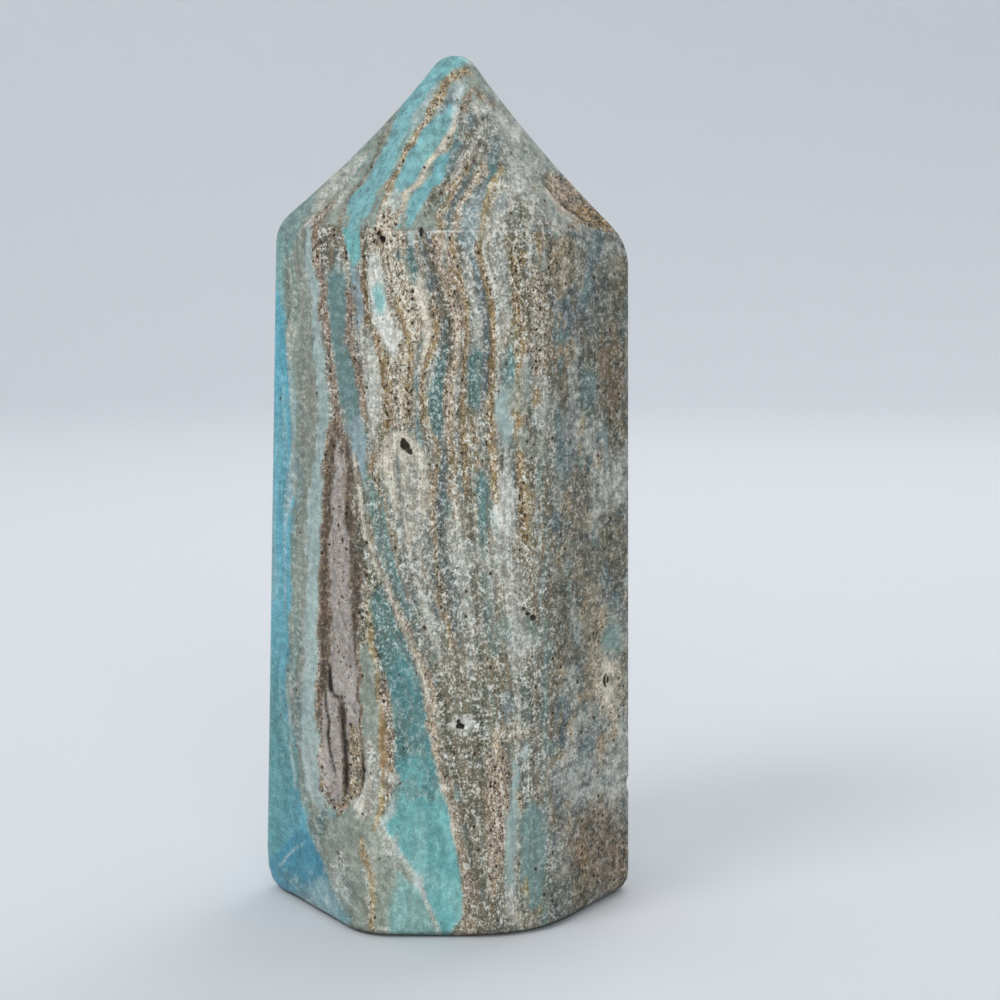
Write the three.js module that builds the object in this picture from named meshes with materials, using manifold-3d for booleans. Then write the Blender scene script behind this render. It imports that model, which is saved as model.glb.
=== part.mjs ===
// Polished point of banded blue aragonite, cut by hand and standing on its flat base.
// Millimetres, +Z up. The origin is on the base, under the middle of the column, and the broad
// front face looks along -Y.

import * as THREE from 'three';
import { mergeVertices } from 'three/addons/utils/BufferGeometryUtils.js';
import Module from 'manifold-3d';

// Driving dimensions of the column and its tip

// Corners in order round the stone, anticlockwise from above. plan is the sharp corner at the base
// and shoulder the height where the tip begins. The roundings say how far they reach back from the
// sharp line: the upright edge at the foot and at the shoulder, the rim of the foot inward and
// upward, and the rim at the shoulder. hollow is how far the ridge above sags inward halfway up.
const LEFT_CORNER = {
  plan: [-20.85, 1.1], shoulder: 72.9, hollow: 1.3,
  footEdge: 2.2, footRim: 2.4, footRise: 5.0, topEdge: 1.3, topRim: 1.9,
};
const FRONT_LEFT_CORNER = {
  plan: [-8.7, -17.0], shoulder: 72.2, hollow: 0.8,
  footEdge: 3.8, footRim: 1.4, footRise: 1.4, topEdge: 0.8, topRim: 0.4,
};
const FRONT_RIGHT_CORNER = {
  plan: [9.3, -17.0], shoulder: 72.0, hollow: 0.8,
  footEdge: 7.0, footRim: 1.2, footRise: 1.2, topEdge: 2.0, topRim: 0.4,
};
const RIGHT_CORNER = {
  plan: [20.3, 0.5], shoulder: 71.0, hollow: 1.0,
  footEdge: 1.8, footRim: 2.2, footRise: 2.4, topEdge: 2.0, topRim: 2.6,
};
const BACK_RIGHT_CORNER = {
  plan: [9.6, 16.5], shoulder: 71.4, hollow: 0.8,
  footEdge: 2.7, footRim: 1.4, footRise: 1.6, topEdge: 1.2, topRim: 0.6,
};
const BACK_LEFT_CORNER = {
  plan: [-9.2, 16.9], shoulder: 72.6, hollow: 0.8,
  footEdge: 2.5, footRim: 1.5, footRise: 2.0, topEdge: 1.1, topRim: 0.6,
};
const CORNERS = [
  LEFT_CORNER, FRONT_LEFT_CORNER, FRONT_RIGHT_CORNER, RIGHT_CORNER, BACK_RIGHT_CORNER, BACK_LEFT_CORNER,
];
// How far each side leans inward in degrees; side i runs from corner i to the next one.
const LEANS = [1.44, 1.1, 0.3, 0.35, 1.0, 1.35];
const [LEFT_SIDE, FRONT_SIDE, RIGHT_SIDE] = [0, 1, 2];
const APEX = new THREE.Vector3(0.9, 0.4, 92.8); // where the six ridges would meet
const TOP_HEIGHT = 90.6; // of the blunt tip
const TIP_REACH = 4.6; // how far down the ridges the blunting starts
const RIDGE_EDGE = 0.8; // reach of the rounding along the ridges, next to the tip

// Steps of the mesh: round each corner, along each side, and up each stretch
const EDGE_STEPS = 6;
const SIDE_STEPS = 4;
const COLUMN_STEPS = 8;
const RIDGE_STEPS = 10;
const RIM_STEPS = 4;
const TIP_STEPS = 6;
const MOST_REACH = 0.42; // share of a side that one rounding may take

// Porous lens that the cut left hollow in the front-left side. Its edges are (along the side, up)
// from the middle of the side's foot line, paired row by row from the upper tip to the foot.
const LENS = {
  side: LEFT_SIDE,
  startEdge: [[2.5, 54.6], [0.4, 49.8], [-0.5, 44.2], [-0.6, 39.0], [-0.9, 33.6], [-1.0, 28.4],
    [-1.3, 23.0], [-1.1, 18.8], [-0.2, 15.4], [1.5, 12.9], [4.2, 11.8]],
  endEdge: [[2.9, 54.6], [4.1, 50.0], [5.4, 45.0], [6.4, 39.4], [7.1, 34.4], [7.4, 29.2],
    [7.6, 24.4], [8.0, 20.4], [8.7, 17.0], [7.4, 14.0], [4.8, 12.0]],
  depthAtTip: 0.25,
  depthAtFoot: 0.85,
  wall: 0.1, // share of the width that each wall takes
  rows: 64,
  columns: 20,
};
// Grooves weathered along the lens: place across it at the upper tip and at the foot, half width
// (both as shares of its width), and depth in millimetres.
const LENS_GROOVES = [
  { from: 0.3, to: 0.16, halfWidth: 0.07, depth: 0.35, start: 0.06, end: 0.62 },
  { from: 0.74, to: 0.86, halfWidth: 0.06, depth: 0.3, start: 0.06, end: 0.8 },
  { from: 0.1, to: 0.56, halfWidth: 0.06, depth: 0.5, start: 0.55, end: 1.0 },
  { from: 0.95, to: 0.9, halfWidth: 0.08, depth: 0.45, start: 0.72, end: 0.97 },
];

// Break in the tip's front-right facet, above the right shoulder. startEdge is the crack under it
// and endEdge runs along the ridge, both (along the facet, up the facet), from top to bottom.
const CHIP = {
  side: RIGHT_SIDE,
  startEdge: [[-1.3, 98.4], [-0.8, 96.6], [0.1, 94.9], [1.2, 93.5], [2.9, 92.4], [5.0, 91.6], [7.0, 91.3]],
  endEdge: [[3.6, 100.6], [5.0, 98.9], [6.1, 97.2], [7.0, 95.7], [7.8, 94.2], [8.4, 92.9], [8.6, 91.8]],
  depth: 1.6,
  depthAtRidge: 0.75,
  wall: 0.14,
  rows: 24,
  columns: 14,
};

// Small natural openings in the polished sides: centre (along the side, up), half length up the
// side, half width, depth, and turn clockwise in degrees.
const PITS = [
  { side: FRONT_SIDE, at: [-3.95, 50.6], halfLength: 0.5, halfWidth: 0.26, depth: 0.7, turn: -40 },
  { side: FRONT_SIDE, at: [1.5, 22.1], halfLength: 0.42, halfWidth: 0.45, depth: 0.8, turn: 20 },
  { side: FRONT_SIDE, at: [9.05, 33.2], halfLength: 0.26, halfWidth: 0.24, depth: 0.6, turn: 0 },
  { side: FRONT_SIDE, at: [-6.3, 71.2], halfLength: 0.5, halfWidth: 0.34, depth: 0.5, turn: 30 },
  { side: RIGHT_SIDE, at: [6.3, 24.2], halfLength: 0.85, halfWidth: 0.24, depth: 0.7, turn: -12 },
];

// Bite out of the right upright edge: centre and half sizes.
const NOTCH = { centre: [20.75, 0.6, 12.1], halfSize: [1.5, 2.4, 1.25] };

const ROUGHNESS = 0.12; // height of the waves on the floors of the lens and the chip
const CLEARANCE = 1.5; // how far the lid of each cutting block stands out of the stone
const OVERLAP = 0.04; // how far its edges stand out

// The flat planes of the stone: normal . point = offset

function turned(index) {
  return (index + CORNERS.length) % CORNERS.length;
}

function sidePlane(index) {
  const [ax, ay] = CORNERS[index].plan;
  const [bx, by] = CORNERS[turned(index + 1)].plan;
  const lean = THREE.MathUtils.degToRad(LEANS[index]);
  const outward = new THREE.Vector3(by - ay, ax - bx, 0).normalize();
  const normal = outward.clone().multiplyScalar(Math.cos(lean));
  normal.z = Math.sin(lean);
  return { normal, offset: normal.x * ax + normal.y * ay };
}

// Where two planes meet at height z
function meetingPoint(first, second, z) {
  const a = first.offset - first.normal.z * z;
  const b = second.offset - second.normal.z * z;
  const determinant = first.normal.x * second.normal.y - first.normal.y * second.normal.x;
  const x = (a * second.normal.y - b * first.normal.y) / determinant;
  const y = (b * first.normal.x - a * second.normal.x) / determinant;
  return new THREE.Vector3(x, y, z);
}

const SIDES = CORNERS.map((corner, index) => sidePlane(index));
const SHOULDERS = CORNERS.map((corner, index) =>
  meetingPoint(SIDES[turned(index - 1)], SIDES[index], corner.shoulder));

function facetPlane(index) {
  const start = SHOULDERS[index];
  const along = SHOULDERS[turned(index + 1)].clone().sub(start);
  const normal = along.cross(APEX.clone().sub(start)).normalize();
  return { normal, offset: normal.dot(start) };
}

const FACETS = CORNERS.map((corner, index) => facetPlane(index));

// The column and tip, as a stack of closed rings that follow the planes

// Where the rounding of a corner ends, on the way to its neighbour
function roundingEnd(corner, neighbour, reach) {
  const share = Math.min(reach / corner.distanceTo(neighbour), MOST_REACH);
  return corner.clone().lerp(neighbour, share);
}

// A ring through six corners, each rounded off by its reach
function ringThrough(corners, reaches) {
  const ring = [];
  corners.forEach((corner, index) => {
    const before = corners[turned(index - 1)];
    const after = corners[turned(index + 1)];
    const arcStart = roundingEnd(corner, before, reaches[index]);
    const arcEnd = roundingEnd(corner, after, reaches[index]);
    const nextStart = roundingEnd(after, corner, reaches[turned(index + 1)]);
    ring.push(...new THREE.QuadraticBezierCurve3(arcStart, corner, arcEnd).getPoints(EDGE_STEPS));
    for (let i = 1; i < SIDE_STEPS; i += 1) {
      ring.push(arcEnd.clone().lerp(nextStart, i / SIDE_STEPS));
    }
  });
  return ring;
}

// The value of each ring point, from a value per corner
function spreadRound(values) {
  return values.flatMap((value, index) => {
    const after = values[turned(index + 1)];
    const along = Array.from({ length: SIDE_STEPS - 1 }, (item, i) =>
      THREE.MathUtils.lerp(value, after, (i + 1) / SIDE_STEPS));
    return [...Array(EDGE_STEPS + 1).fill(value), ...along];
  });
}

// A ring on the column, given how far up to the shoulder it passes each corner
function columnRing(shares) {
  const corners = CORNERS.map((corner, index) =>
    meetingPoint(SIDES[turned(index - 1)], SIDES[index], shares[index] * corner.shoulder));
  const reaches = CORNERS.map((corner, index) =>
    THREE.MathUtils.lerp(corner.footEdge, corner.topEdge, shares[index]));
  return ringThrough(corners, reaches);
}

// A ring on the tip, given how far along each ridge to the apex it passes
function tipRing(shares) {
  const corners = SHOULDERS.map((shoulder, index) => {
    const spot = shoulder.clone().lerp(APEX, shares[index]);
    const inward = APEX.clone().sub(spot).setZ(0).normalize();
    return spot.addScaledVector(inward, CORNERS[index].hollow * 4 * shares[index] * (1 - shares[index]));
  });
  const reaches = CORNERS.map((corner, index) =>
    THREE.MathUtils.lerp(corner.topEdge, RIDGE_EDGE, shares[index]));
  return ringThrough(corners, reaches);
}

// Rings that turn smoothly from one ring to another, round a third that lies outside both
function turningRings(from, outer, to, steps) {
  return Array.from({ length: steps + 1 }, (item, i) =>
    from.map((spot, j) => new THREE.QuadraticBezierCurve3(spot, outer[j], to[j]).getPoint(i / steps)));
}

function evenRings(ringAt, fromShares, toShares, steps) {
  return Array.from({ length: steps - 1 }, (item, i) =>
    ringAt(fromShares.map((share, k) => THREE.MathUtils.lerp(share, toShares[k], (i + 1) / steps))));
}

function stoneRings() {
  const everyCorner = (share) => CORNERS.map(() => share);
  const ridges = SHOULDERS.map((shoulder) => shoulder.distanceTo(APEX));

  const foot = columnRing(everyCorner(0));
  const insets = spreadRound(CORNERS.map((corner) => corner.footRim));
  const sole = foot.map((spot, j) => spot.clone().multiplyScalar(1 - insets[j] / spot.length()));
  const aboveFoot = CORNERS.map((corner) => corner.footRise / corner.shoulder);
  const belowShoulder = CORNERS.map((corner) => 1 - corner.topRim / corner.shoulder);
  const aboveShoulder = CORNERS.map((corner, index) => corner.topRim / ridges[index]);
  const underTip = ridges.map((ridge) => 1 - TIP_REACH / ridge);

  const tipStart = tipRing(underTip);
  const top = new THREE.Vector3(APEX.x, APEX.y, TOP_HEIGHT);
  const tipOuter = tipStart.map((spot) => spot.clone().lerp(APEX, (TOP_HEIGHT - spot.z) / (APEX.z - spot.z)));
  return [
    ...turningRings(sole, foot, columnRing(aboveFoot), RIM_STEPS),
    ...evenRings(columnRing, aboveFoot, belowShoulder, COLUMN_STEPS),
    ...turningRings(columnRing(belowShoulder), columnRing(everyCorner(1)), tipRing(aboveShoulder), RIM_STEPS),
    ...evenRings(tipRing, aboveShoulder, underTip, RIDGE_STEPS),
    ...turningRings(tipStart, tipOuter, tipStart.map(() => top), TIP_STEPS).slice(0, -1),
  ];
}

function roundedStone() {
  const rings = stoneRings();
  const perRing = rings[0].length;
  const sole = new THREE.Vector3(0, 0, 0);
  const top = new THREE.Vector3(APEX.x, APEX.y, TOP_HEIGHT);
  const spots = [...rings.flat(), sole, top];
  const soleIndex = rings.length * perRing;
  const topIndex = soleIndex + 1;
  const lastRing = (rings.length - 1) * perRing;
  const indices = [];
  for (let j = 0; j < perRing; j += 1) {
    const next = (j + 1) % perRing;
    indices.push(soleIndex, next, j);
    indices.push(topIndex, lastRing + j, lastRing + next);
    for (let row = 0; row < lastRing; row += perRing) {
      indices.push(row + j, row + next, row + next + perRing);
      indices.push(row + j, row + next + perRing, row + j + perRing);
    }
  }
  return gridGeometry(spots.flatMap((spot) => spot.toArray()), indices);
}

function gridGeometry(positions, indices) {
  const geometry = new THREE.BufferGeometry();
  geometry.setAttribute('position', new THREE.Float32BufferAttribute(positions, 3));
  geometry.setIndex(indices);
  return geometry;
}

// Cutting solids, laid out on a flat plane of the stone

// Axes on a plane: along it to the right as seen from outside, up it, and out of the stone
function frameOn(plane) {
  const along = new THREE.Vector3(0, 0, 1).cross(plane.normal).normalize();
  const up = plane.normal.clone().cross(along);
  const level = Math.hypot(plane.normal.x, plane.normal.y);
  const origin = plane.normal.clone().setZ(0).multiplyScalar(plane.offset / level ** 2);
  return (a, b, out) => origin.clone().addScaledVector(along, a).addScaledVector(up, b)
    .addScaledVector(plane.normal, out);
}

// 0 at both edges of the pocket and 1 between its walls
function betweenWalls(across, wall) {
  return THREE.MathUtils.smoothstep(across, 0, wall) * THREE.MathUtils.smoothstep(1 - across, 0, wall);
}

// Uneven floor of a natural hollow, from a few crossing waves
function unevenness(a, b) {
  return 0.45 * Math.sin(1.9 * a + 0.7 * b) + 0.35 * Math.sin(3.1 * b - 1.3 * a + 0.8)
    + 0.2 * Math.sin(4.7 * a + 2.3 * b + 2.1);
}

// A closed block with a flat lid outside the stone and a floor that follows depthAt(down, across)
function pocketBlock(plane, pocket, depthAt) {
  const place = frameOn(plane);
  const startEdge = new THREE.SplineCurve(pocket.startEdge.map(([a, b]) => new THREE.Vector2(a, b)));
  const endEdge = new THREE.SplineCurve(pocket.endEdge.map(([a, b]) => new THREE.Vector2(a, b)));
  const positions = [];
  const perRow = pocket.columns + 1;
  for (const isFloor of [false, true]) {
    for (let row = 0; row <= pocket.rows; row += 1) {
      const down = row / pocket.rows;
      const start = startEdge.getPoint(down);
      const end = endEdge.getPoint(down);
      for (let column = 0; column <= pocket.columns; column += 1) {
        const across = column / pocket.columns;
        const spot = start.clone().lerp(end, across);
        const out = isFloor ? -depthAt(down, across, spot) : CLEARANCE;
        positions.push(...place(spot.x, spot.y, out).toArray());
      }
    }
  }
  const lidCount = perRow * (pocket.rows + 1);
  const indices = [];
  const quad = (a, b, c, d) => indices.push(a, b, c, a, c, d);
  for (let row = 0; row < pocket.rows; row += 1) {
    for (let column = 0; column < pocket.columns; column += 1) {
      const corner = row * perRow + column;
      quad(corner, corner + perRow, corner + perRow + 1, corner + 1);
      const floor = corner + lidCount;
      quad(floor, floor + 1, floor + perRow + 1, floor + perRow);
    }
    const start = row * perRow;
    quad(start, start + lidCount, start + lidCount + perRow, start + perRow);
    const end = start + pocket.columns;
    quad(end, end + perRow, end + perRow + lidCount, end + lidCount);
  }
  const last = pocket.rows * perRow;
  for (let column = 0; column < pocket.columns; column += 1) {
    quad(column, column + 1, column + 1 + lidCount, column + lidCount);
    quad(last + column, last + column + lidCount, last + column + 1 + lidCount, last + column + 1);
  }
  return gridGeometry(positions, indices);
}

function lensBlock() {
  const depthAt = (down, across, spot) => {
    const ends = THREE.MathUtils.smoothstep(down, 0, 0.04) * THREE.MathUtils.smoothstep(1 - down, 0, 0.03);
    const inside = betweenWalls(across, LENS.wall) * ends;
    let depth = THREE.MathUtils.lerp(LENS.depthAtTip, LENS.depthAtFoot, down);
    depth += ROUGHNESS * unevenness(0.6 * spot.x, 0.3 * spot.y);
    for (const groove of LENS_GROOVES) {
      const reach = THREE.MathUtils.smoothstep(down, groove.start, groove.start + 0.06)
        * THREE.MathUtils.smoothstep(groove.end + 0.03 - down, 0, 0.06);
      const middle = THREE.MathUtils.lerp(groove.from, groove.to, down);
      depth += groove.depth * reach * Math.exp(-(((across - middle) / groove.halfWidth) ** 2));
    }
    return depth * inside - OVERLAP;
  };
  return pocketBlock(SIDES[LENS.side], LENS, depthAt);
}

function chipBlock() {
  const depthAt = (down, across, spot) => {
    const ends = Math.sin(Math.PI * Math.min(1, down * 0.9 + 0.06)) ** 0.7;
    const wall = THREE.MathUtils.smoothstep(across, 0, CHIP.wall);
    const depth = THREE.MathUtils.lerp(CHIP.depth, CHIP.depthAtRidge, across);
    return (depth + ROUGHNESS * unevenness(spot.x, spot.y)) * wall * ends - OVERLAP;
  };
  return pocketBlock(FACETS[CHIP.side], CHIP, depthAt);
}

function pitBlock(pit) {
  const place = frameOn(SIDES[pit.side]);
  const centre = place(pit.at[0], pit.at[1], 0);
  const along = place(1, 0, 0).sub(place(0, 0, 0));
  const up = place(0, 1, 0).sub(place(0, 0, 0));
  const axes = new THREE.Matrix4().makeBasis(along, up, SIDES[pit.side].normal);
  const geometry = new THREE.SphereGeometry(1, 10, 8);
  geometry.scale(pit.halfWidth, pit.halfLength, pit.depth);
  geometry.rotateZ(THREE.MathUtils.degToRad(-pit.turn));
  geometry.applyMatrix4(axes);
  geometry.translate(centre.x, centre.y, centre.z);
  return geometry;
}

function notchBlock() {
  const geometry = new THREE.IcosahedronGeometry(1, 3);
  const position = geometry.getAttribute('position');
  for (let i = 0; i < position.count; i += 1) {
    const spot = new THREE.Vector3().fromBufferAttribute(position, i);
    spot.multiplyScalar(1 + 0.12 * unevenness(3 * spot.x + spot.y, 3 * spot.z));
    position.setXYZ(i, spot.x, spot.y, spot.z);
  }
  geometry.scale(...NOTCH.halfSize);
  geometry.translate(...NOTCH.centre);
  return geometry;
}

// Joining and cutting

const wasm = await Module();
wasm.setup();

function toSolid(geometry) {
  const bare = geometry.clone();
  bare.deleteAttribute('normal');
  bare.deleteAttribute('uv');
  const merged = mergeVertices(bare, 1e-4);
  return new wasm.Manifold(new wasm.Mesh({
    numProp: 3,
    vertProperties: merged.getAttribute('position').array,
    triVerts: Uint32Array.from(merged.index.array),
  }));
}

function toGeometry(solid) {
  const mesh = solid.getMesh();
  const geometry = gridGeometry(mesh.vertProperties, Array.from(mesh.triVerts));
  geometry.computeVertexNormals();
  return geometry;
}

function pointSolid() {
  const hollows = [lensBlock(), chipBlock(), notchBlock(), ...PITS.map(pitBlock)];
  return hollows.reduce((stone, hollow) => stone.subtract(toSolid(hollow)), toSolid(roundedStone()));
}

const STONE = new THREE.MeshStandardMaterial({ color: 0x8c9a93, roughness: 0.45, metalness: 0 });

const point = new THREE.Mesh(toGeometry(pointSolid()), STONE);
point.name = 'point';

const aragonitePoint = new THREE.Group();
aragonitePoint.add(point);

export default aragonitePoint;
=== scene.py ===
import math

import bpy
import numpy as np
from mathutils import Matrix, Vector
from mathutils.bvhtree import BVHTree


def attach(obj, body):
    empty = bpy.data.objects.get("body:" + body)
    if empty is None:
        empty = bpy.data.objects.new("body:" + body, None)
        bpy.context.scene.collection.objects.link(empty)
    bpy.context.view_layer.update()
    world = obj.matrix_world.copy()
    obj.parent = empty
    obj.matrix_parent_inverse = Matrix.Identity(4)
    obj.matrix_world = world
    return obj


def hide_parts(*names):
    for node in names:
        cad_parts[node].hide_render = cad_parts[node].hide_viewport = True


# A hand-cut, polished point of banded blue aragonite, standing on its flat foot.
# Lengths are in millimetres up to the last step, which makes Blender's metres.

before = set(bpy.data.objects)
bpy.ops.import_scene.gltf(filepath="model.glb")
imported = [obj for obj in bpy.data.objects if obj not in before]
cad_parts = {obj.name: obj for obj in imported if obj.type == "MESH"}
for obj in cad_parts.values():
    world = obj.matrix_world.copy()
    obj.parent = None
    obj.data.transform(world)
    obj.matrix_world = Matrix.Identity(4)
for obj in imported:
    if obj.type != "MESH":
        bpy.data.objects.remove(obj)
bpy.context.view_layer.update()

MM = 0.001

# The camera stands where the photograph was taken from
CAMERA_AT = (5.6, -235.9, 71.8)
CAMERA_TILT = math.radians(6.87)
CAMERA_LENS = 79.2
CAMERA_SENSOR = 36.0
PICTURE_SIZE = 1000
PICTURE_MIDDLE = 500
PIXEL = 0.11

# The stone's six upright corners at the foot, anticlockwise from the left one
CORNERS = ((-20.85, 1.1), (-8.7, -17.0), (9.3, -17.0), (20.3, 0.5), (9.6, 16.5), (-9.2, 16.9))
SEEN_SIDES = 3
FINE_COLUMN = 0.24
COARSE_COLUMN = 0.55

# Heights that the rows of the mesh follow
FOOT_PIVOT = 6.0
FOOT_RADIUS = 19.0
FOOT_RINGS = (0.15, 0.35, 0.55, 0.72, 0.86)
FOOT_ROW_DENSITY = 1.4
SHOULDER_FROM = 70.4
SHOULDER_TO = 73.9
TOP = 90.6
SHOULDER_AT = 71.8
TIP_AT = (0.9, 0.4)
TIP_RADIUS = 19.5
ROW = 0.46
FINE_ROW = 0.16
FAR = 60.0


# The surface: rays from the stone's axis find its skin, row by row

def column_angles():
    """The directions of the columns, close together on the three sides that the picture shows."""
    angles = []
    seen = 0
    for side in range(len(CORNERS)):
        start = np.array(CORNERS[side])
        end = np.array(CORNERS[(side + 1) % len(CORNERS)])
        spacing = FINE_COLUMN if side < SEEN_SIDES else COARSE_COLUMN
        count = math.ceil(np.linalg.norm(end - start) / spacing)
        for step in range(count):
            x, y = start + (end - start) * step / count
            angles.append(math.atan2(y, x))
        if side < SEEN_SIDES:
            seen += count
    return np.array(angles), seen


def row_rays():
    """For each row, the point on the axis that its rays leave and their elevation."""
    rows = []
    foot_edge = math.atan2(FOOT_PIVOT, FOOT_RADIUS)
    foot_rows = int(FOOT_PIVOT / ROW * FOOT_ROW_DENSITY)
    for share in FOOT_RINGS:
        rows.append(((0.0, 0.0, FOOT_PIVOT), -math.atan2(FOOT_PIVOT, FOOT_RADIUS * share)))
    for step in range(foot_rows):
        rows.append(((0.0, 0.0, FOOT_PIVOT), -foot_edge * (1 - step / foot_rows)))
    height = FOOT_PIVOT
    while height < SHOULDER_TO:
        rows.append(((0.0, 0.0, height), 0.0))
        height += FINE_ROW if height > SHOULDER_FROM else ROW
    tip_height = TOP - SHOULDER_TO
    tip_rows = int(math.hypot(TIP_RADIUS, tip_height) / ROW)
    for step in range(tip_rows):
        share = step / tip_rows
        centre = (TIP_AT[0] * share, TIP_AT[1] * share, SHOULDER_TO)
        rows.append((centre, math.atan2(tip_height * share, TIP_RADIUS * (1 - share))))
    return rows


def skin_points(tree, angles, rows):
    """Where each row's rays meet the stone, as an array of rows, columns and coordinates."""
    points = np.zeros((len(rows), len(angles), 3))
    for i, (centre, elevation) in enumerate(rows):
        flat = math.cos(elevation)
        rise = math.sin(elevation)
        origin = Vector(centre) * MM
        for j, angle in enumerate(angles):
            way = Vector((flat * math.cos(angle), flat * math.sin(angle), rise))
            points[i, j] = tree.ray_cast(origin, way, FAR * MM)[0]
    return points / MM


def pole_point(tree, centre, rise):
    """The stone's lowest or highest point over a point of the axis."""
    found = tree.ray_cast(Vector(centre) * MM, Vector((0.0, 0.0, rise)), FAR * MM)[0]
    return np.array(found) / MM


def grid_faces(row_count, column_count):
    """Quads between the rows, and a fan of triangles at each pole."""
    faces = []
    bottom = row_count * column_count
    top = bottom + 1
    for i in range(row_count - 1):
        for j in range(column_count):
            k = (j + 1) % column_count
            low = i * column_count
            high = low + column_count
            faces.append((low + j, low + k, high + k, high + j))
    last = (row_count - 1) * column_count
    for j in range(column_count):
        k = (j + 1) % column_count
        faces.append((bottom, k, j))
        faces.append((top, last + j, last + k))
    return faces


def stone_skin():
    """The skin's grid, how many of its columns the picture shows, and all points with both poles."""
    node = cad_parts["point"]
    tree = BVHTree.FromObject(node, bpy.context.evaluated_depsgraph_get())
    angles, seen = column_angles()
    grid = skin_points(tree, angles, row_rays())
    bottom = pole_point(tree, (0.0, 0.0, FOOT_PIVOT), -1.0)
    top = pole_point(tree, (TIP_AT[0], TIP_AT[1], SHOULDER_TO), 1.0)
    return grid, seen, np.vstack([grid.reshape(-1, 3), bottom, top])


# Smooth, repeatable unevenness

NOISE_SIZE = 32


def smooth_noise(points, cell, seed):
    """Values from -1 to 1 that change smoothly over a cell's length."""
    table = np.random.default_rng(seed).uniform(-1.0, 1.0, (NOISE_SIZE, NOISE_SIZE, NOISE_SIZE))
    place = points / cell
    low = np.floor(place).astype(int)
    share = place - low
    share = share * share * (3 - 2 * share)
    total = np.zeros(len(points))
    for corner in range(8):
        step = np.array([corner & 1, corner >> 1 & 1, corner >> 2 & 1])
        index = (low + step) % NOISE_SIZE
        weight = np.prod(np.where(step == 1, share, 1 - share), axis=1)
        total += weight * table[index[:, 0], index[:, 1], index[:, 2]]
    return total


# Where each point of the skin lies in the picture, and in the stone's layers

LAYER_NORMAL = (0.866, -0.5, 0.0)
LAYER_ALONG = (0.5, 0.866, 0.0)
BACK_WARP = 2.6
BACK_WARP_CELL = 17.0
BACK_TILT = 0.05
BACK_EASE = 7.0
LAYER_SWAY = 0.7
LAYER_SWAY_CELL = 5.0
GRAIN_STRETCH = 0.4


def picture_place(points):
    """Column and row of the picture that show each point."""
    x, y, z = (points - np.array(CAMERA_AT)).reshape(-1, 3).T
    depth = y * math.cos(CAMERA_TILT) - z * math.sin(CAMERA_TILT)
    rise = y * math.sin(CAMERA_TILT) + z * math.cos(CAMERA_TILT)
    scale = PICTURE_SIZE * CAMERA_LENS / CAMERA_SENSOR / depth
    return PICTURE_MIDDLE + x * scale, PICTURE_MIDDLE - rise * scale


def follow_layers(grid, seen):
    """Picture places for all points. A hidden point takes the place of the seen point in its layer."""
    rows, columns = grid.shape[:2]
    across, down = (values.reshape(rows, columns) for values in picture_place(grid.reshape(-1, 3)))
    layer = grid @ np.array(LAYER_NORMAL)
    hidden = grid[:, seen:].reshape(-1, 3)
    warp = BACK_WARP * smooth_noise(hidden, BACK_WARP_CELL, seed=5)
    warp += BACK_TILT * (hidden[:, 2] - TOP / 2)
    warp = warp.reshape(rows, columns - seen)
    for i in range(rows):
        ring = grid[i, seen:]
        from_right = np.linalg.norm(ring - grid[i, seen], axis=1)
        from_left = np.linalg.norm(ring - grid[i, 0], axis=1)
        ease = np.minimum(1.0, np.minimum(from_right, from_left) / BACK_EASE)
        known = np.maximum.accumulate(layer[i, :seen + 1])
        wanted = layer[i, seen:] + warp[i] * ease
        across[i, seen:] = np.interp(wanted, known, across[i, :seen + 1])
        down[i, seen:] = np.interp(wanted, known, down[i, :seen + 1])
    return across.ravel(), down.ravel()


# Lines that the layers run along, read as (picture row, picture column),
# and the width of stone from the left that each one stands for, in pixels

LEFT_OUTLINE = ((60, 436), (80, 418), (100, 402), (120, 386), (140, 367), (160, 347), (180, 326),
                (200, 304), (220, 282), (240, 276), (400, 272), (700, 266), (940, 262))
OLIVE_LAYER = ((60, 441), (100, 407), (140, 375), (180, 340), (200, 322), (230, 301), (300, 306),
               (400, 308), (500, 302), (600, 302), (700, 296), (800, 310), (830, 318), (940, 350))
CREAM_LAYER = ((60, 445), (80, 430), (100, 417), (140, 399), (180, 378), (200, 364), (230, 351),
               (300, 348), (400, 360), (450, 366), (500, 362), (550, 368), (600, 391), (650, 412),
               (700, 427), (780, 445), (850, 460), (940, 468))
WHITE_LAYER = ((60, 450), (90, 461), (112, 458), (128, 453), (145, 443), (165, 428), (185, 417),
               (195, 406), (212, 402), (230, 402), (270, 408), (300, 420), (325, 430), (345, 428),
               (370, 420), (420, 420), (500, 425), (600, 440), (700, 460), (940, 485))
DARK_LAYER = ((60, 454), (90, 470), (115, 480), (130, 475), (145, 469), (160, 459), (180, 448),
              (200, 434), (230, 420), (260, 432), (290, 441), (320, 449), (350, 450), (380, 446),
              (420, 444), (460, 449), (500, 453), (600, 465), (700, 485), (940, 505))
SLATE_LAYER = ((60, 458), (90, 478), (120, 500), (150, 499), (185, 486), (200, 477), (230, 467),
               (250, 468), (270, 473), (290, 480), (310, 485), (340, 488), (380, 488), (450, 489),
               (500, 491), (600, 500), (700, 515), (940, 520))
FRONT_RIGHT_EDGE = ((60, 462), (100, 490), (140, 510), (180, 530), (230, 548), (940, 548))
RIGHT_OUTLINE = ((60, 500), (100, 535), (140, 565), (180, 600), (220, 625), (260, 629), (940, 629))
GUIDES = ((LEFT_OUTLINE, 0), (OLIVE_LAYER, 31), (CREAM_LAYER, 77), (WHITE_LAYER, 150),
          (DARK_LAYER, 172), (SLATE_LAYER, 212), (FRONT_RIGHT_EDGE, 273), (RIGHT_OUTLINE, 353))
NARROWEST = 0.5

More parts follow.
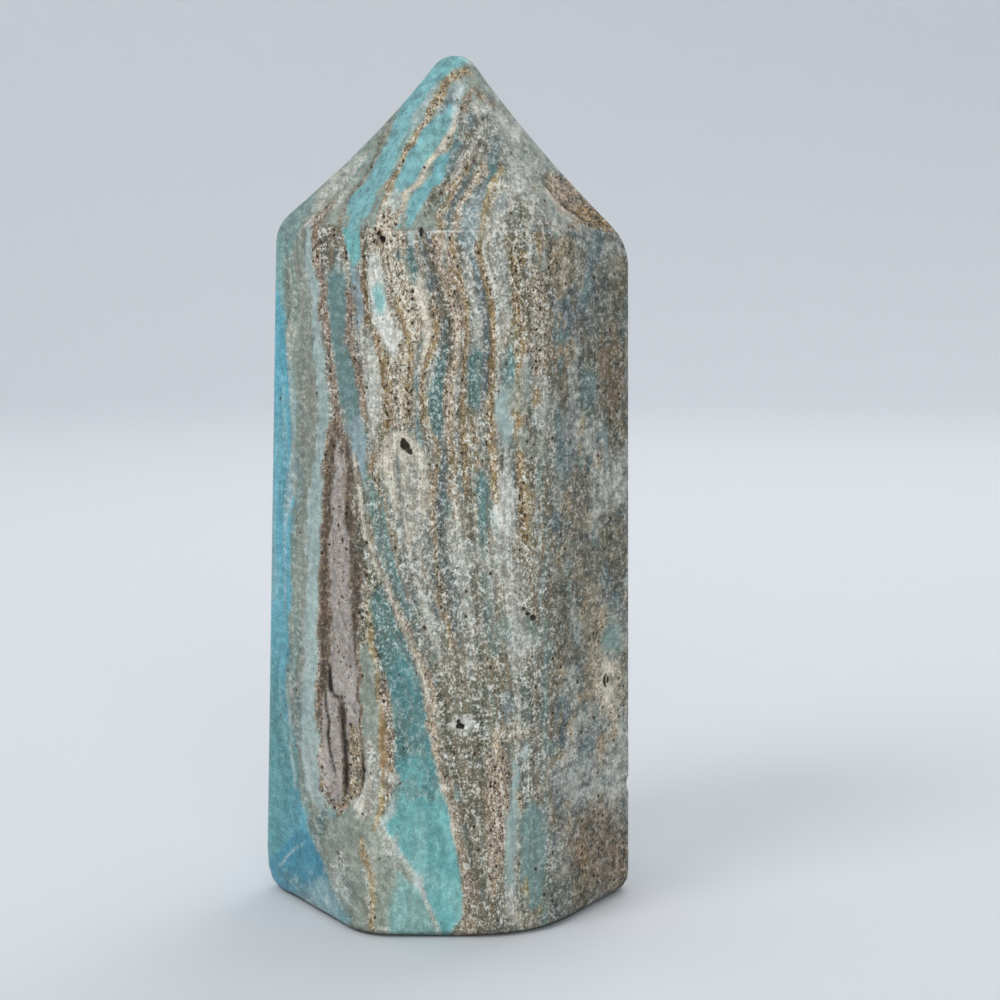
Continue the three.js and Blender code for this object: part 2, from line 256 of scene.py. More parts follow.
# How much of the leaves is lost on the right side and on the tip, and over what length
RIGHT_LOSS = 0.75
RIGHT_LOSS_WIDTH = 14
TIP_LOSS = 0.6
TIP_LOSS_HEIGHT = 8


def line_at(guide, down):
    """The guide's picture column at each picture row."""
    rows, columns = zip(*guide)
    return np.interp(down, rows, columns)


def layer_place(across, down):
    """How far each point lies across the layers, in millimetres from the left corner."""
    place = np.zeros(len(across))
    for (line_a, width_a), (line_b, width_b) in zip(GUIDES, GUIDES[1:]):
        a = line_at(line_a, down)
        b = np.maximum(line_at(line_b, down), a + NARROWEST)
        share = np.clip((across - a) / (b - a), 0.0, 1.0)
        place += share * (width_b - width_a)
    return place * PIXEL


def leaf_strength(points, across, down):
    """How clearly the thin leaves show. The mottled right side and the tip show them faintly."""
    right = (across - line_at(FRONT_RIGHT_EDGE, down)) / RIGHT_LOSS_WIDTH
    high = (points[:, 2] - SHOULDER_AT) / TIP_LOSS_HEIGHT
    return 1 - np.maximum(RIGHT_LOSS * np.clip(right, 0, 1), TIP_LOSS * np.clip(high, 0, 1))


# The stone's minerals: a colour, then how porous, how grainy and how glossy each one is

MINERALS = {
    "sky blue": ("60adbf", 0.00, 0.10, 0.9),
    "deep blue": ("3f8ba0", 0.00, 0.06, 0.9),
    "teal blue": ("569396", 0.00, 0.12, 0.9),
    "turquoise": ("76b7b6", 0.00, 0.12, 0.9),
    "light blue": ("7cb6ba", 0.00, 0.10, 0.9),
    "aqua": ("8cbfba", 0.00, 0.15, 0.9),
    "pale aqua": ("a6bab5", 0.00, 0.15, 0.8),
    "white aqua": ("c9d6d0", 0.02, 0.15, 0.8),
    "teal grey": ("7d9a94", 0.04, 0.20, 0.8),
    "smooth teal": ("668683", 0.01, 0.14, 0.8),
    "smooth blue grey": ("8aa0a3", 0.02, 0.20, 0.8),
    "slate teal": ("628783", 0.04, 0.50, 0.7),
    "slate": ("667779", 0.06, 0.55, 0.6),
    "blue grey": ("8d9b9b", 0.05, 0.50, 0.7),
    "olive grey": ("8a9084", 0.04, 0.20, 0.7),
    "green grey": ("929b8e", 0.04, 0.20, 0.7),
    "dark olive": ("676451", 0.30, 0.60, 0.4),
    "grey": ("9a9b8f", 0.12, 0.75, 0.6),
    "pale grey": ("b8b9ae", 0.08, 0.60, 0.7),
    "speckled grey": ("94968a", 0.14, 0.85, 0.5),
    "speckled olive": ("837f68", 0.22, 0.80, 0.4),
    "mauve": ("b0a8a2", 0.55, 0.15, 0.1),
    "white": ("dcdbd1", 0.04, 0.40, 0.7),
    "cream": ("d6cdb9", 0.12, 0.40, 0.6),
    "porous cream": ("cdc1aa", 0.80, 0.85, 0.3),
    "tan": ("b3a07c", 0.80, 0.85, 0.3),
    "pink tan": ("bfad96", 0.85, 0.80, 0.2),
    "ochre": ("b5a172", 0.40, 0.60, 0.4),
    "rust": ("a98e5e", 0.90, 0.90, 0.2),
    "orange ochre": ("ab8c60", 0.12, 0.20, 0.4),
    "brown": ("7d674f", 0.85, 0.55, 0.1),
    "pink brown": ("9a8877", 0.95, 0.65, 0.2),
    "dark brown": ("4b3e35", 0.60, 0.15, 0.0),
    "brown grey": ("7f7968", 0.40, 0.75, 0.3),
    # Not a mineral: painted shade, laid in the lens's cracks and under its wall, along the chip's crack
    # and round the foot
    "shade": ("28241f", 0.10, 0.00, 0.0),
}


def linear_colour(text):
    """A web code's three shares of light, by the standard curve of screens."""
    parts = np.array([int(text[i:i + 2], 16) for i in (0, 2, 4)]) / 255
    return np.where(parts <= 0.04045, parts / 12.92, ((parts + 0.055) / 1.055) ** 2.4)


# How far the painted edges wander, as (pixels, size in mm, seed)
WAVY_ACROSS = ((2.8, 1.7, 21), (1.6, 0.5, 22))
WAVY_DOWN = ((4.0, 1.9, 23),)
STEADY_ACROSS = ((1.7, 1.4, 24),)

# Leaves: their depth in mm, the strength and depth of the finer ones, and the softness of their edges
LEAF_DEEP = 9.0
FINE_LEAF = 0.4
FINE_LEAF_DEEP = 5.0
LEAF_EDGE = 0.14

# Blotches: their stretch, the strength of the finer ones and how much finer, and their edges' softness
BLOTCH_STRETCH = (1.0, 1.0, 0.6)
FINE_BLOTCH = 0.5
FINER_BLOTCH = 2.3
BLOTCH_EDGE = 0.3

# The soft edge of a part of the picture, the ends of a line, and the whole picture, in pixels
AREA_EDGE = 8
LINE_TAPER = 8.0
EVERYWHERE = (0, PICTURE_SIZE)


def wavy(values, points, waves):
    """The values, moved to and fro by smooth noise."""
    for reach, cell, seed in waves:
        values = values + reach * smooth_noise(points, cell, seed)
    return values


class Painting:
    """Colour and feel of every point of the skin, laid on stroke by stroke."""

    def __init__(self, points, across, down, sheet, mineral):
        self.points = points
        self.sheet = sheet
        self.across = wavy(across, points, WAVY_ACROSS)
        self.down = wavy(down, points, WAVY_DOWN)
        self.steady = wavy(across, points, STEADY_ACROSS)
        self.colour = np.zeros((len(points), 3))
        self.feel = np.zeros((len(points), 3))
        self.cover(np.ones(len(points)), mineral)

    def cover(self, share, mineral):
        """Lays a mineral over what is there, fully where the share is 1."""
        code, *feel = MINERALS[mineral]
        share = share[:, None]
        self.colour += share * (linear_colour(code) - self.colour)
        self.feel += share * (np.array(feel) - self.feel)

    def within(self, columns, rows):
        """How far each point lies inside a part of the picture, from 0 to 1 at its edge."""
        near = np.minimum(self.across - columns[0], columns[1] - self.across)
        near = np.minimum(near, np.minimum(self.down - rows[0], rows[1] - self.down))
        return np.clip(near / AREA_EDGE + 0.5, 0.0, 1.0)

    def band(self, mineral, *edges, soft=3.0, strength=1.0, taper=22.0, steady=False):
        """A band between two edges, each given as (picture row, left column, right column).
        It narrows to a point over the taper's length at both ends. A steady one wanders less."""
        rows, left, right = np.array(edges, float).T
        left = np.interp(self.down, rows, left)
        right = np.interp(self.down, rows, right)
        from_ends = np.minimum(self.down - rows[0], rows[-1] - self.down)
        narrow = np.sqrt(np.clip(from_ends / taper, 0.0, 1.0))
        half = (right - left) / 2
        across = self.steady if steady else self.across
        inside = half * narrow - np.abs(across - (left + right) / 2)
        inside = np.where(from_ends < 0, -soft, inside)
        self.cover(strength * np.clip(inside / soft + 0.5, 0.0, 1.0), mineral)

    def line(self, mineral, *course, width=3.0, soft=1.6, strength=1.0):
        """A narrow vein along a course of (picture row, column) points."""
        half = width / 2
        edges = [(row, column - half, column + half) for row, column in course]
        self.band(mineral, *edges, soft=soft, strength=strength, taper=LINE_TAPER, steady=True)

    def patch(self, mineral, column, row, wide, high, soft=0.5, strength=1.0):
        """An oval patch round a picture column and row, with its half width and half height.
        Its edge is soft over a share of its size."""
        reach = np.hypot((self.across - column) / wide, (self.down - row) / high)
        self.cover(strength * np.clip((1 - reach) / soft + 0.5, 0.0, 1.0), mineral)

    def laminae(self, mineral, level, seed, across=0.8, along=16.0, columns=EVERYWHERE, rows=EVERYWHERE,
                strength=0.8):
        """Thin leaves of one mineral that follow the layers, with their thickness and length in mm.
        They are fewer where the level is higher."""
        field = smooth_noise(self.sheet / np.array([across, LEAF_DEEP, along]), 1.0, seed)
        fine = np.array([across / 2, FINE_LEAF_DEEP, along / 3])
        field += FINE_LEAF * smooth_noise(self.sheet / fine, 1.0, seed + 1)
        share = np.clip((field - level) / LEAF_EDGE, 0.0, 1.0)
        self.cover(strength * share * self.within(columns, rows), mineral)

    def blotches(self, mineral, cell, level, seed, columns=EVERYWHERE, rows=EVERYWHERE, strength=1.0):
        """Uneven blotches of one mineral over a part of the stone, with their size in mm.
        They are fewer where the level is higher."""
        stretched = self.points * np.array(BLOTCH_STRETCH)
        field = smooth_noise(stretched, cell, seed)
        field += FINE_BLOTCH * smooth_noise(stretched, cell / FINER_BLOTCH, seed + 1)
        share = np.clip((field - level) / BLOTCH_EDGE, 0.0, 1.0)
        self.cover(strength * share * self.within(columns, rows), mineral)

    def lay(self, strokes):
        """Lays a table of strokes on, one after the other."""
        for kind, values, settings in strokes:
            kind(self, *values, **settings)


def strokes_of(kind):
    """A way to write down strokes of one kind in a table, from which a painting lays them on."""
    return lambda *values, **settings: (kind, values, settings)


band = strokes_of(Painting.band)
line = strokes_of(Painting.line)
patch = strokes_of(Painting.patch)
laminae = strokes_of(Painting.laminae)
blotches = strokes_of(Painting.blotches)


def leaves(**place):
    """Thin leaves of several minerals, which fill the stone between the larger layers."""
    return (
        laminae("pale grey", 0.10, 81, **place),
        laminae("slate teal", 0.20, 83, **place),
        laminae("tan", 0.20, 85, across=0.6, **place),
        laminae("slate", 0.40, 91, across=0.5, **place),
        laminae("white", 0.45, 93, across=0.55, along=10.0, **place),
        laminae("speckled olive", 0.35, 95, across=0.7, **place),
        laminae("brown", 0.50, 89, across=0.4, **place),
    )


# The strokes of each part of the stone. A later stroke covers the earlier ones, and paint_stone says
# in which order the parts come. Places are given as rows and columns of the picture.

# Blue, olive and pale aqua layers of the front-left side
LEFT_VEILS = {"columns": (284, 345), "rows": (215, 845), "along": 22.0}
LEFT_SIDE = (
    band("teal grey", (0, 0, 300), (230, 200, 300), (940, 200, 301)),
    band("aqua", (215, 262, 282), (300, 262, 286), (345, 262, 284), soft=8, strength=0.5),
    band("sky blue", (240, 262, 277), (300, 258, 282), (345, 250, 288), (400, 200, 293), (500, 200, 295),
         (600, 200, 293), (690, 200, 287), (780, 200, 294), (800, 200, 302), (850, 200, 316),
         (900, 200, 340), (945, 200, 352), soft=6, taper=60),
    laminae("pale aqua", 0.40, 101, along=20.0, columns=(255, 296), rows=(260, 600), strength=0.35),
    blotches("light blue", 7.0, 0.1, 48, columns=(255, 296), rows=(260, 700), strength=0.4),
    laminae("teal blue", 0.25, 103, along=20.0, columns=(255, 300), rows=(240, 945), strength=0.6),
    patch("teal blue", 262, 770, 42, 100, soft=1.3, strength=0.9),
    band("pale aqua", (380, 288, 298), (420, 291, 299), (500, 293, 296), soft=4, strength=0.7),
    band("green grey", (225, 296, 306), (280, 285, 304), (340, 289, 304), (400, 296, 306),
         (700, 289, 297), soft=4),
    band("olive grey", (222, 297, 306), (340, 300, 312), (400, 301, 318), (440, 300, 317),
         (500, 296, 308), (600, 299, 306), (640, 297, 304), (700, 290, 300), (720, 292, 299),
         (760, 297, 306), (800, 305, 314), (835, 313, 323), (850, 320, 330)),
    patch("cream", 291, 340, 3, 22, strength=0.7),
    laminae("teal blue", 0.30, 115, across=0.5, strength=0.4, **LEFT_VEILS),
    laminae("pale grey", 0.30, 105, across=0.45, strength=0.45, **LEFT_VEILS),
    laminae("slate teal", 0.30, 107, across=0.4, strength=0.45, **LEFT_VEILS),
    laminae("dark olive", 0.45, 109, across=0.3, strength=0.4, **LEFT_VEILS),
    band("pale aqua", (222, 304, 312), (260, 307, 314), (300, 311, 320), (350, 313, 322), (400, 318, 329),
         (440, 317, 328), (470, 312, 323), (500, 308, 321), (600, 306, 321), (650, 304, 318),
         (740, 299, 318), (780, 305, 322), (818, 318, 326), soft=2.5),
    band("white aqua", (735, 299, 304), (765, 303, 309), (800, 312, 317), strength=0.6),
    line("pale aqua", (690, 287), (790, 296), strength=0.6),
)

# The deep blue corner and the grey-green stone below the lens
LEFT_FOOT = (
    band("green grey", (800, 320, 362), (815, 320, 366), (835, 318, 366), (850, 318, 362),
         (900, 334, 356), (945, 346, 362), soft=5),
    band("pale grey", (850, 334, 350), (880, 330, 350), (905, 334, 350), soft=7, strength=0.8),
    band("deep blue", (826, 296, 310), (850, 282, 319), (866, 266, 325), (890, 262, 333), (910, 262, 344),
         (945, 262, 354), soft=4),
    band("sky blue", (905, 330, 350), (945, 335, 362), soft=8, strength=0.6),
    line("slate teal", (868, 284), (890, 300), (915, 322), width=16, soft=12, strength=0.5),
    band("pale aqua", (876, 300, 340), (900, 300, 346), (945, 310, 352), soft=18, strength=0.6),
    blotches("white aqua", 1.6, 0.3, 47, columns=(300, 350), rows=(870, 945), strength=0.4),
    line("pale aqua", (841, 306), (858, 286), (868, 277), strength=0.8),
    patch("slate teal", 322, 826, 4, 14, strength=0.8),
    patch("teal blue", 335, 810, 12, 7, strength=0.5),
    band("olive grey", (838, 353, 359), (880, 351, 358), (920, 352, 362), soft=4),
)

# The narrow layers along the front-left edge, above the lens
LEFT_OF_EDGE = (
    band("pink brown", (220, 311, 320), (340, 324, 331), (400, 330, 339), (416, 331, 343)),
    band("brown grey", (215, 320, 342), (282, 326, 346), soft=4),
    band("smooth teal", (258, 332, 345), (280, 327, 345), (300, 328, 346), (330, 331, 346),
         (400, 340, 361), (425, 346, 364), soft=4),
    line("pale grey", (240, 341), (275, 337), strength=0.8),
    band("smooth blue grey", (415, 343, 366), (490, 358, 366), soft=4),
    band("turquoise", (205, 346, 372), (220, 342, 361), (240, 343, 360), (255, 346, 361), (272, 349, 359),
         soft=2.5),
    band("smooth blue grey", (268, 349, 361), (300, 352, 362), (330, 354, 366), soft=4),
    band("pink brown", (280, 345, 350), (340, 347, 356), (395, 359, 365), (420, 360, 367)),
    line("brown", (230, 361), (262, 364), (290, 362), (330, 370), (355, 380), (380, 382), width=2.5),
)

# The sunk, dull lens between two dark grooves
LENS = (
    band("pink brown", (408, 331, 342), (450, 325, 349), (470, 323, 355), (530, 320, 363),
         (650, 317, 359), (700, 316, 361), (770, 320, 365), (790, 321, 364), (803, 326, 357),
         (814, 332, 347), soft=2),
    band("dark brown", (418, 334, 340), (440, 331, 341), (460, 326, 336), (500, 322, 330),
         (640, 319, 330), (680, 320, 331), (700, 317, 322), (740, 318, 321), strength=0.85),
    band("dark brown", (440, 341, 349), (480, 344, 352), (500, 344, 351), (560, 347, 360),
         (650, 354, 358), (735, 358, 362), strength=0.85),
    band("dark olive", (460, 349, 354), (540, 354, 363), (560, 358, 364), strength=0.8),
    line("cream", (452, 352), (500, 360), (540, 364), width=2, strength=0.8),
    band("mauve", (440, 337, 341), (500, 330, 344), (690, 331, 357), (700, 322, 357), (740, 321, 359),
         (790, 323, 350), (803, 328, 346), soft=2),
    band("tan", (722, 347, 359), (760, 349, 362), (790, 350, 361), (803, 348, 357), strength=0.8),
    # Painted shade: dark lines in the lens's cracks and under its steep right wall
    line("shade", (688, 325), (740, 329), (760, 332), (776, 337), width=2.8),
    line("shade", (664, 329), (690, 331), (706, 341), width=4.5),
    line("dark brown", (700, 341), (760, 346), (800, 345), width=7),
    line("shade", (706, 341), (760, 346), (790, 346), width=2.6),
    band("shade", (745, 359, 363), (780, 362, 367), (792, 358, 364), soft=2),
)

# The turquoise wedge between the ochre line and the long cream vein
WEDGE = (
    band("speckled olive", (560, 364, 385), (650, 359, 412), (700, 358, 424), (760, 362, 438),
         (820, 358, 452), (945, 350, 470)),
    band("green grey", (815, 352, 368), (860, 350, 372), (945, 350, 374), soft=4, taper=8),
    band("green grey", (640, 359, 376), (700, 359, 379), (780, 364, 380), (830, 352, 380), soft=4),
    band("slate teal", (585, 368, 392), (620, 370, 402), (660, 380, 416), (700, 388, 424),
         (790, 392, 440), soft=5),
    band("teal blue", (655, 384, 414), (700, 389, 424), (800, 394, 446), soft=9, strength=0.6),
    band("pale grey", (735, 362, 378), (780, 366, 380), (800, 362, 380), (820, 355, 378), soft=5),
    band("turquoise", (752, 386, 438), (780, 390, 443), (800, 390, 450), (830, 383, 456), (945, 383, 468),
         soft=12, taper=70),
    blotches("slate teal", 1.5, 0.0, 42, columns=(390, 442), rows=(690, 800), strength=0.7),
    blotches("teal grey", 1.2, 0.2, 44, columns=(384, 440), rows=(650, 800), strength=0.6),
    band("turquoise", (795, 396, 446), (830, 384, 452), (850, 396, 458), (945, 396, 466), soft=5,
         taper=30),
    blotches("aqua", 3.0, 0.1, 41, columns=(385, 466), rows=(790, 945), strength=0.6),
    blotches("teal blue", 2.2, 0.35, 45, columns=(395, 466), rows=(760, 945), strength=0.4),
    band("green grey", (824, 377, 382), (842, 366, 391), (858, 366, 400), (882, 366, 419),
         (960, 366, 446), taper=2),
    blotches("pale grey", 2.0, 0.0, 43, columns=(366, 400), rows=(838, 945), strength=0.7),
    band("aqua", (872, 394, 404), (885, 392, 420), (905, 390, 428), (960, 390, 446), soft=7,
         strength=0.8),
    band("ochre", (598, 364, 368), (640, 368, 374), (680, 376, 380), (720, 379, 386), (760, 382, 389),
         (800, 379, 384), (820, 375, 381), (830, 372, 377)),
    band("orange ochre", (700, 380, 384), (765, 380, 388), (790, 379, 384), soft=2.5),
    band("pink tan", (670, 379, 388), (740, 387, 394), (765, 387, 393), (785, 384, 394), (802, 384, 392)),
    patch("white", 392, 781, 5, 6),
    band("white aqua", (800, 388, 400), (815, 384, 396), (828, 380, 388), soft=4),
    line("ochre", (835, 361), (850, 362), (875, 371), (900, 374), (935, 371), width=5, soft=4),
    line("cream", (820, 376), (830, 377), (838, 384)),
    line("white", (824, 381), (858, 400), (872, 410), (882, 420), (940, 442), width=3.5, soft=2.5),
    patch("white aqua", 419, 882, 6, 7, strength=0.8),
    # A painted highlight on the lens's lower lip
    patch("white", 361, 806, 4, 13),
    line("cream", (796, 365), (818, 356), width=4),
)

# The long cream vein, with its brown lining
VEIN_UPPER = ((455, 352), (480, 357), (500, 361), (530, 364), (545, 368), (560, 374), (580, 384),
              (600, 392), (620, 400), (640, 409), (660, 417), (680, 424), (705, 430))
VEIN_LOWER = ((705, 430), (735, 434), (760, 439), (800, 450), (850, 460), (880, 465), (930, 470))
CREAM_VEIN = (
    band("pink tan", (560, 374, 379), (600, 391, 396), (650, 414, 421), (680, 422, 433), (705, 424, 437),
         (760, 436, 442), (800, 448, 454), (850, 458, 465), (880, 462, 472), (945, 464, 478)),
    line("dark olive", *VEIN_LOWER, width=9, soft=3, strength=0.6),
    line("pink tan", *VEIN_LOWER, width=5, soft=2),
    line("cream", (735, 431), (850, 457), width=2.2, soft=1.5),
    line("dark olive", *VEIN_UPPER, width=9, soft=2.5, strength=0.9),
    line("cream", *VEIN_UPPER, width=4.8, soft=1.0),
    line("white", (500, 361), (530, 364), (545, 368), (600, 392), width=2.4, soft=1.4, strength=0.7),
)

# The many upright layers of the front side
FRONT_UPPER = (
    band("grey", (0, 362, 552), (560, 362, 552), taper=1),
    *leaves(columns=(362, 556), rows=(180, 945)),
    band("porous cream", (215, 361, 402), (250, 364, 402), (262, 380, 402)),
    band("white", (250, 372, 384), (265, 367, 384), (290, 367, 384), (310, 369, 390), (325, 372, 396),
         (338, 380, 404), (365, 394, 404), soft=2.5),
    band("pale grey", (330, 364, 371), (360, 362, 379), (380, 366, 382), (430, 366, 384), soft=4),
    patch("aqua", 379, 300, 7, 14, soft=0.8),
    band("porous cream", (255, 384, 400), (290, 386, 418), (320, 395, 424), (335, 404, 420),
         (380, 385, 412), (430, 384, 418)),
    band("cream", (430, 380, 420), (450, 378, 428), (480, 384, 430), (500, 392, 434), (530, 400, 424),
         (560, 404, 420), soft=6),
    band("tan", (350, 380, 390), (380, 382, 392), (430, 383, 389), (470, 368, 376), (500, 378, 386),
         strength=0.8),
    band("slate teal", (244, 405, 417), (270, 405, 418), (294, 416, 421), soft=4),
    band("white aqua", (205, 402, 418), (246, 405, 416), soft=4),
    band("slate", (224, 418, 432), (260, 420, 436), (280, 426, 440), (305, 438, 447), soft=4),
    band("cream", (268, 415, 422), (285, 412, 428), (300, 418, 434), (320, 424, 437), (368, 421, 428),
         soft=4),
    band("tan", (295, 428, 440), (330, 434, 440), (370, 422, 434), soft=4, strength=0.8),
    band("pink tan", (205, 436, 446), (240, 434, 442), (265, 434, 442), (285, 440, 447)),
    band("pink tan", (205, 452, 462), (240, 447, 457), (265, 446, 458), (290, 446, 466), (318, 452, 466),
         (345, 453, 460)),
    band("slate teal", (305, 444, 451), (345, 443, 451), (368, 436, 447), (392, 426, 446),
         (410, 428, 443), (440, 434, 443), soft=4),
    band("blue grey", (205, 460, 478), (245, 458, 474), (262, 462, 474)),
    band("pale grey", (255, 458, 470), (300, 466, 478), (352, 472, 482), soft=4),
    band("slate", (262, 470, 477), (280, 472, 481), (300, 478, 486), (340, 484, 489), (358, 484, 490)),
    band("slate teal", (346, 466, 486), (380, 467, 487), (400, 468, 485), (414, 472, 482), soft=4),
    band("ochre", (225, 476, 481), (260, 478, 482), (280, 482, 486), (300, 487, 493), (330, 488, 495),
         (352, 489, 494)),
    band("tan", (372, 446, 453), (400, 444, 454), (440, 444, 452), (480, 452, 458), (540, 452, 459)),
    band("tan", (380, 461, 467), (420, 460, 467), (500, 466, 471)),
    band("pale grey", (232, 486, 500), (260, 490, 510), (300, 495, 508), (335, 498, 516), soft=4),
    band("speckled olive", (228, 508, 530), (262, 512, 524), (300, 510, 528), (350, 518, 534), soft=4),
    band("slate teal", (346, 500, 516), (370, 500, 519), (395, 498, 514), soft=5),
    band("pale aqua", (388, 492, 512), (420, 495, 513), (446, 502, 513), soft=5),
    band("tan", (400, 486, 494), (440, 488, 498), (500, 492, 498), soft=4),
    band("porous cream", (262, 528, 548), (330, 532, 548), (380, 530, 548), soft=5),
    band("brown grey", (415, 514, 542), (450, 514, 542), (482, 520, 536), soft=5),
    band("pale grey", (375, 534, 556), (410, 534, 554), (440, 542, 554), soft=5),
    band("slate teal", (470, 474, 490), (545, 480, 490), soft=4),
    band("slate teal", (492, 440, 450), (520, 442, 450), soft=4),
    band("white", (470, 494, 514), (500, 496, 516), (540, 494, 516), (572, 498, 514), soft=5),
    band("ochre", (470, 518, 528), (575, 524, 530), soft=4, strength=0.8),
    band("cream", (555, 528, 540), (600, 530, 540), (612, 532, 538), soft=4, strength=0.7),
)

# Porous, rust-stained lines between the front side's layers
RUSTY_LINES = (
    line("pink tan", (205, 440), (250, 436), (270, 438), (300, 452), (320, 457), (345, 456), (400, 449),
         (440, 448), width=9),
    line("rust", (232, 452), (250, 452), (265, 455), (300, 466), (330, 467), (400, 463), (450, 463),
         (500, 468), width=4.5, soft=2.5),
    line("slate", (252, 470), (290, 482), (310, 486), (345, 488), (400, 484), width=7, soft=3),
    line("rust", (240, 478), (265, 482), (300, 491), (320, 493), (430, 490), (505, 496), width=6,
         soft=2.5),
    line("rust", (222, 508), (330, 520), (430, 518), (540, 526), (616, 536), width=7, soft=4),
    line("rust", (262, 364), (300, 364), (325, 369), (345, 377), (370, 383), (432, 388), width=5,
         soft=2.5),
    line("rust", (292, 396), (320, 402), (335, 408), (350, 410), (425, 408), width=4.5, soft=2.5),
    line("rust", (290, 432), (340, 437), (358, 428), (380, 423), (425, 424), width=5, soft=3),
    line("dark olive", (236, 424), (320, 450), (350, 450), (375, 446), width=5, soft=3),
    line("dark brown", (250, 427), (300, 441), (330, 446), (345, 445), (362, 440), strength=0.6),
    line("dark brown", (345, 461), (460, 460), strength=0.6),
    line("dark brown", (268, 479), (300, 488), (340, 490), (385, 487), strength=0.6),
    line("dark brown", (340, 413), (430, 412), width=2.5, strength=0.5),
    blotches("rust", 1.3, 0.2, 57, columns=(512, 550), rows=(222, 420), strength=0.8),
    blotches("green grey", 1.6, 0.2, 59, columns=(506, 590), rows=(222, 460), strength=0.7),
)

# The speckled grey, olive and brown stone right of the cream vein
FRONT_LOWER = (
    band("speckled grey", (520, 376, 552), (600, 393, 552), (650, 415, 552), (800, 450, 552),
         (945, 470, 552), soft=10, taper=60, strength=0.6),
    band("blue grey", (560, 376, 392), (620, 403, 416), soft=5),
    band("slate teal", (462, 357, 370), (520, 369, 383), (630, 408, 416), soft=5, strength=0.8),
    band("speckled olive", (630, 418, 500), (690, 426, 508), (720, 440, 500), (760, 440, 486),
         (800, 450, 486), (945, 470, 500), soft=12, strength=0.75),
    line("pale grey", (455, 412), (540, 417), (600, 426), (660, 440), width=15, soft=10, strength=0.7),
    line("rust", (470, 431), (540, 434), (600, 441), (650, 452), width=5, soft=3, strength=0.7),
    line("slate", (470, 441), (540, 444), (600, 451), (660, 463), width=9, soft=6, strength=0.6),
    line("pale grey", (470, 456), (540, 458), (600, 464), (660, 474), width=10, soft=8, strength=0.6),
    line("dark olive", (480, 469), (600, 475), (680, 486), width=5, soft=3, strength=0.8),
    line("slate teal", (470, 480), (600, 486), (660, 494), width=10, soft=6, strength=0.7),
    line("slate", (455, 397), (560, 404), (610, 416), width=7, soft=5, strength=0.6),
    blotches("pale grey", 2.6, 0.25, 51, columns=(400, 540), rows=(540, 700), strength=0.7),
    blotches("slate teal", 3.2, 0.35, 53, columns=(380, 540), rows=(540, 720), strength=0.5),
    band("white", (560, 502, 524), (600, 505, 522), (640, 512, 530), (660, 514, 528), soft=7,
         strength=0.6),
    band("brown grey", (740, 436, 486), (880, 468, 490), (945, 478, 502), soft=6),
    blotches("dark olive", 1.6, 0.0, 58, columns=(436, 490), rows=(735, 945), strength=0.8),
    band("pink tan", (735, 490, 510), (760, 486, 510), (800, 486, 511), (870, 488, 500), (900, 486, 500),
         soft=4),
    band("white", (716, 450, 478), (726, 442, 480), (734, 448, 474), soft=5),
    band("porous cream", (722, 476, 545), (742, 478, 545), soft=6, strength=0.7),
    band("blue grey", (690, 498, 514), (722, 500, 512), soft=5),
    band("white aqua", (742, 522, 532), (760, 520, 532)),
    band("pale aqua", (758, 511, 520), (800, 511, 520), (830, 506, 516), (900, 504, 514), soft=4),
    band("white", (885, 502, 514), (905, 504, 518), (918, 508, 518), soft=4, strength=0.8),
    band("cream", (905, 500, 508), (930, 512, 530), soft=4, strength=0.8),
    band("teal grey", (800, 520, 546), (910, 520, 545), soft=6),
    blotches("ochre", 1.6, 0.45, 55, columns=(516, 548), rows=(760, 920), strength=0.8),
    band("slate teal", (600, 544, 560), (700, 542, 560), (800, 545, 558), (945, 542, 558), soft=5,
         strength=0.7),
)

# The blotchy, dull grey and brown front-right side
DULL_SIDE = {"columns": (548, 640), "rows": (228, 945)}
RIGHT_SIDE = (
    band("grey", (228, 548, 640), (945, 548, 640), soft=5),
    blotches("brown grey", 5.0, 0.0, 61, **DULL_SIDE),
    blotches("slate", 4.2, 0.15, 63, strength=0.9, **DULL_SIDE),
    blotches("dark olive", 3.0, 0.2, 67, strength=0.8, **DULL_SIDE),
    blotches("pale grey", 2.6, 0.25, 65, strength=0.9, **DULL_SIDE),
    blotches("tan", 1.8, 0.35, 69, strength=0.8, **DULL_SIDE),
    blotches("slate teal", 1.6, 0.45, 62, strength=0.7, **DULL_SIDE),
    band("tan", (235, 548, 585), (300, 548, 570), soft=10, strength=0.6),
    band("dark olive", (250, 592, 640), (330, 588, 640), (440, 604, 640), soft=10, strength=0.6),
    band("brown", (320, 604, 622), (430, 608, 622), soft=8, strength=0.5),
    patch("slate teal", 588, 392, 9, 26, soft=0.8, strength=0.8),
    patch("pale grey", 575, 408, 6, 14, soft=0.8, strength=0.8),
    patch("slate", 567, 450, 8, 36, soft=0.8, strength=0.7),
    patch("pale grey", 614, 482, 14, 26, soft=0.8, strength=0.8),
    patch("pale grey", 598, 506, 8, 22, soft=0.8, strength=0.7),
    patch("dark olive", 614, 540, 16, 34, soft=0.8, strength=0.7),
    patch("tan", 596, 640, 14, 50, soft=0.8, strength=0.6),
    patch("teal grey", 611, 640, 9, 20, soft=0.8, strength=0.9),
    patch("porous cream", 610, 688, 16, 30, soft=0.8, strength=0.7),
    patch("pale grey", 585, 785, 28, 30, soft=0.8, strength=0.6),
    patch("brown", 600, 850, 34, 48, soft=0.6, strength=0.7),
    patch("dark olive", 570, 900, 24, 34, soft=0.8, strength=0.5),
)

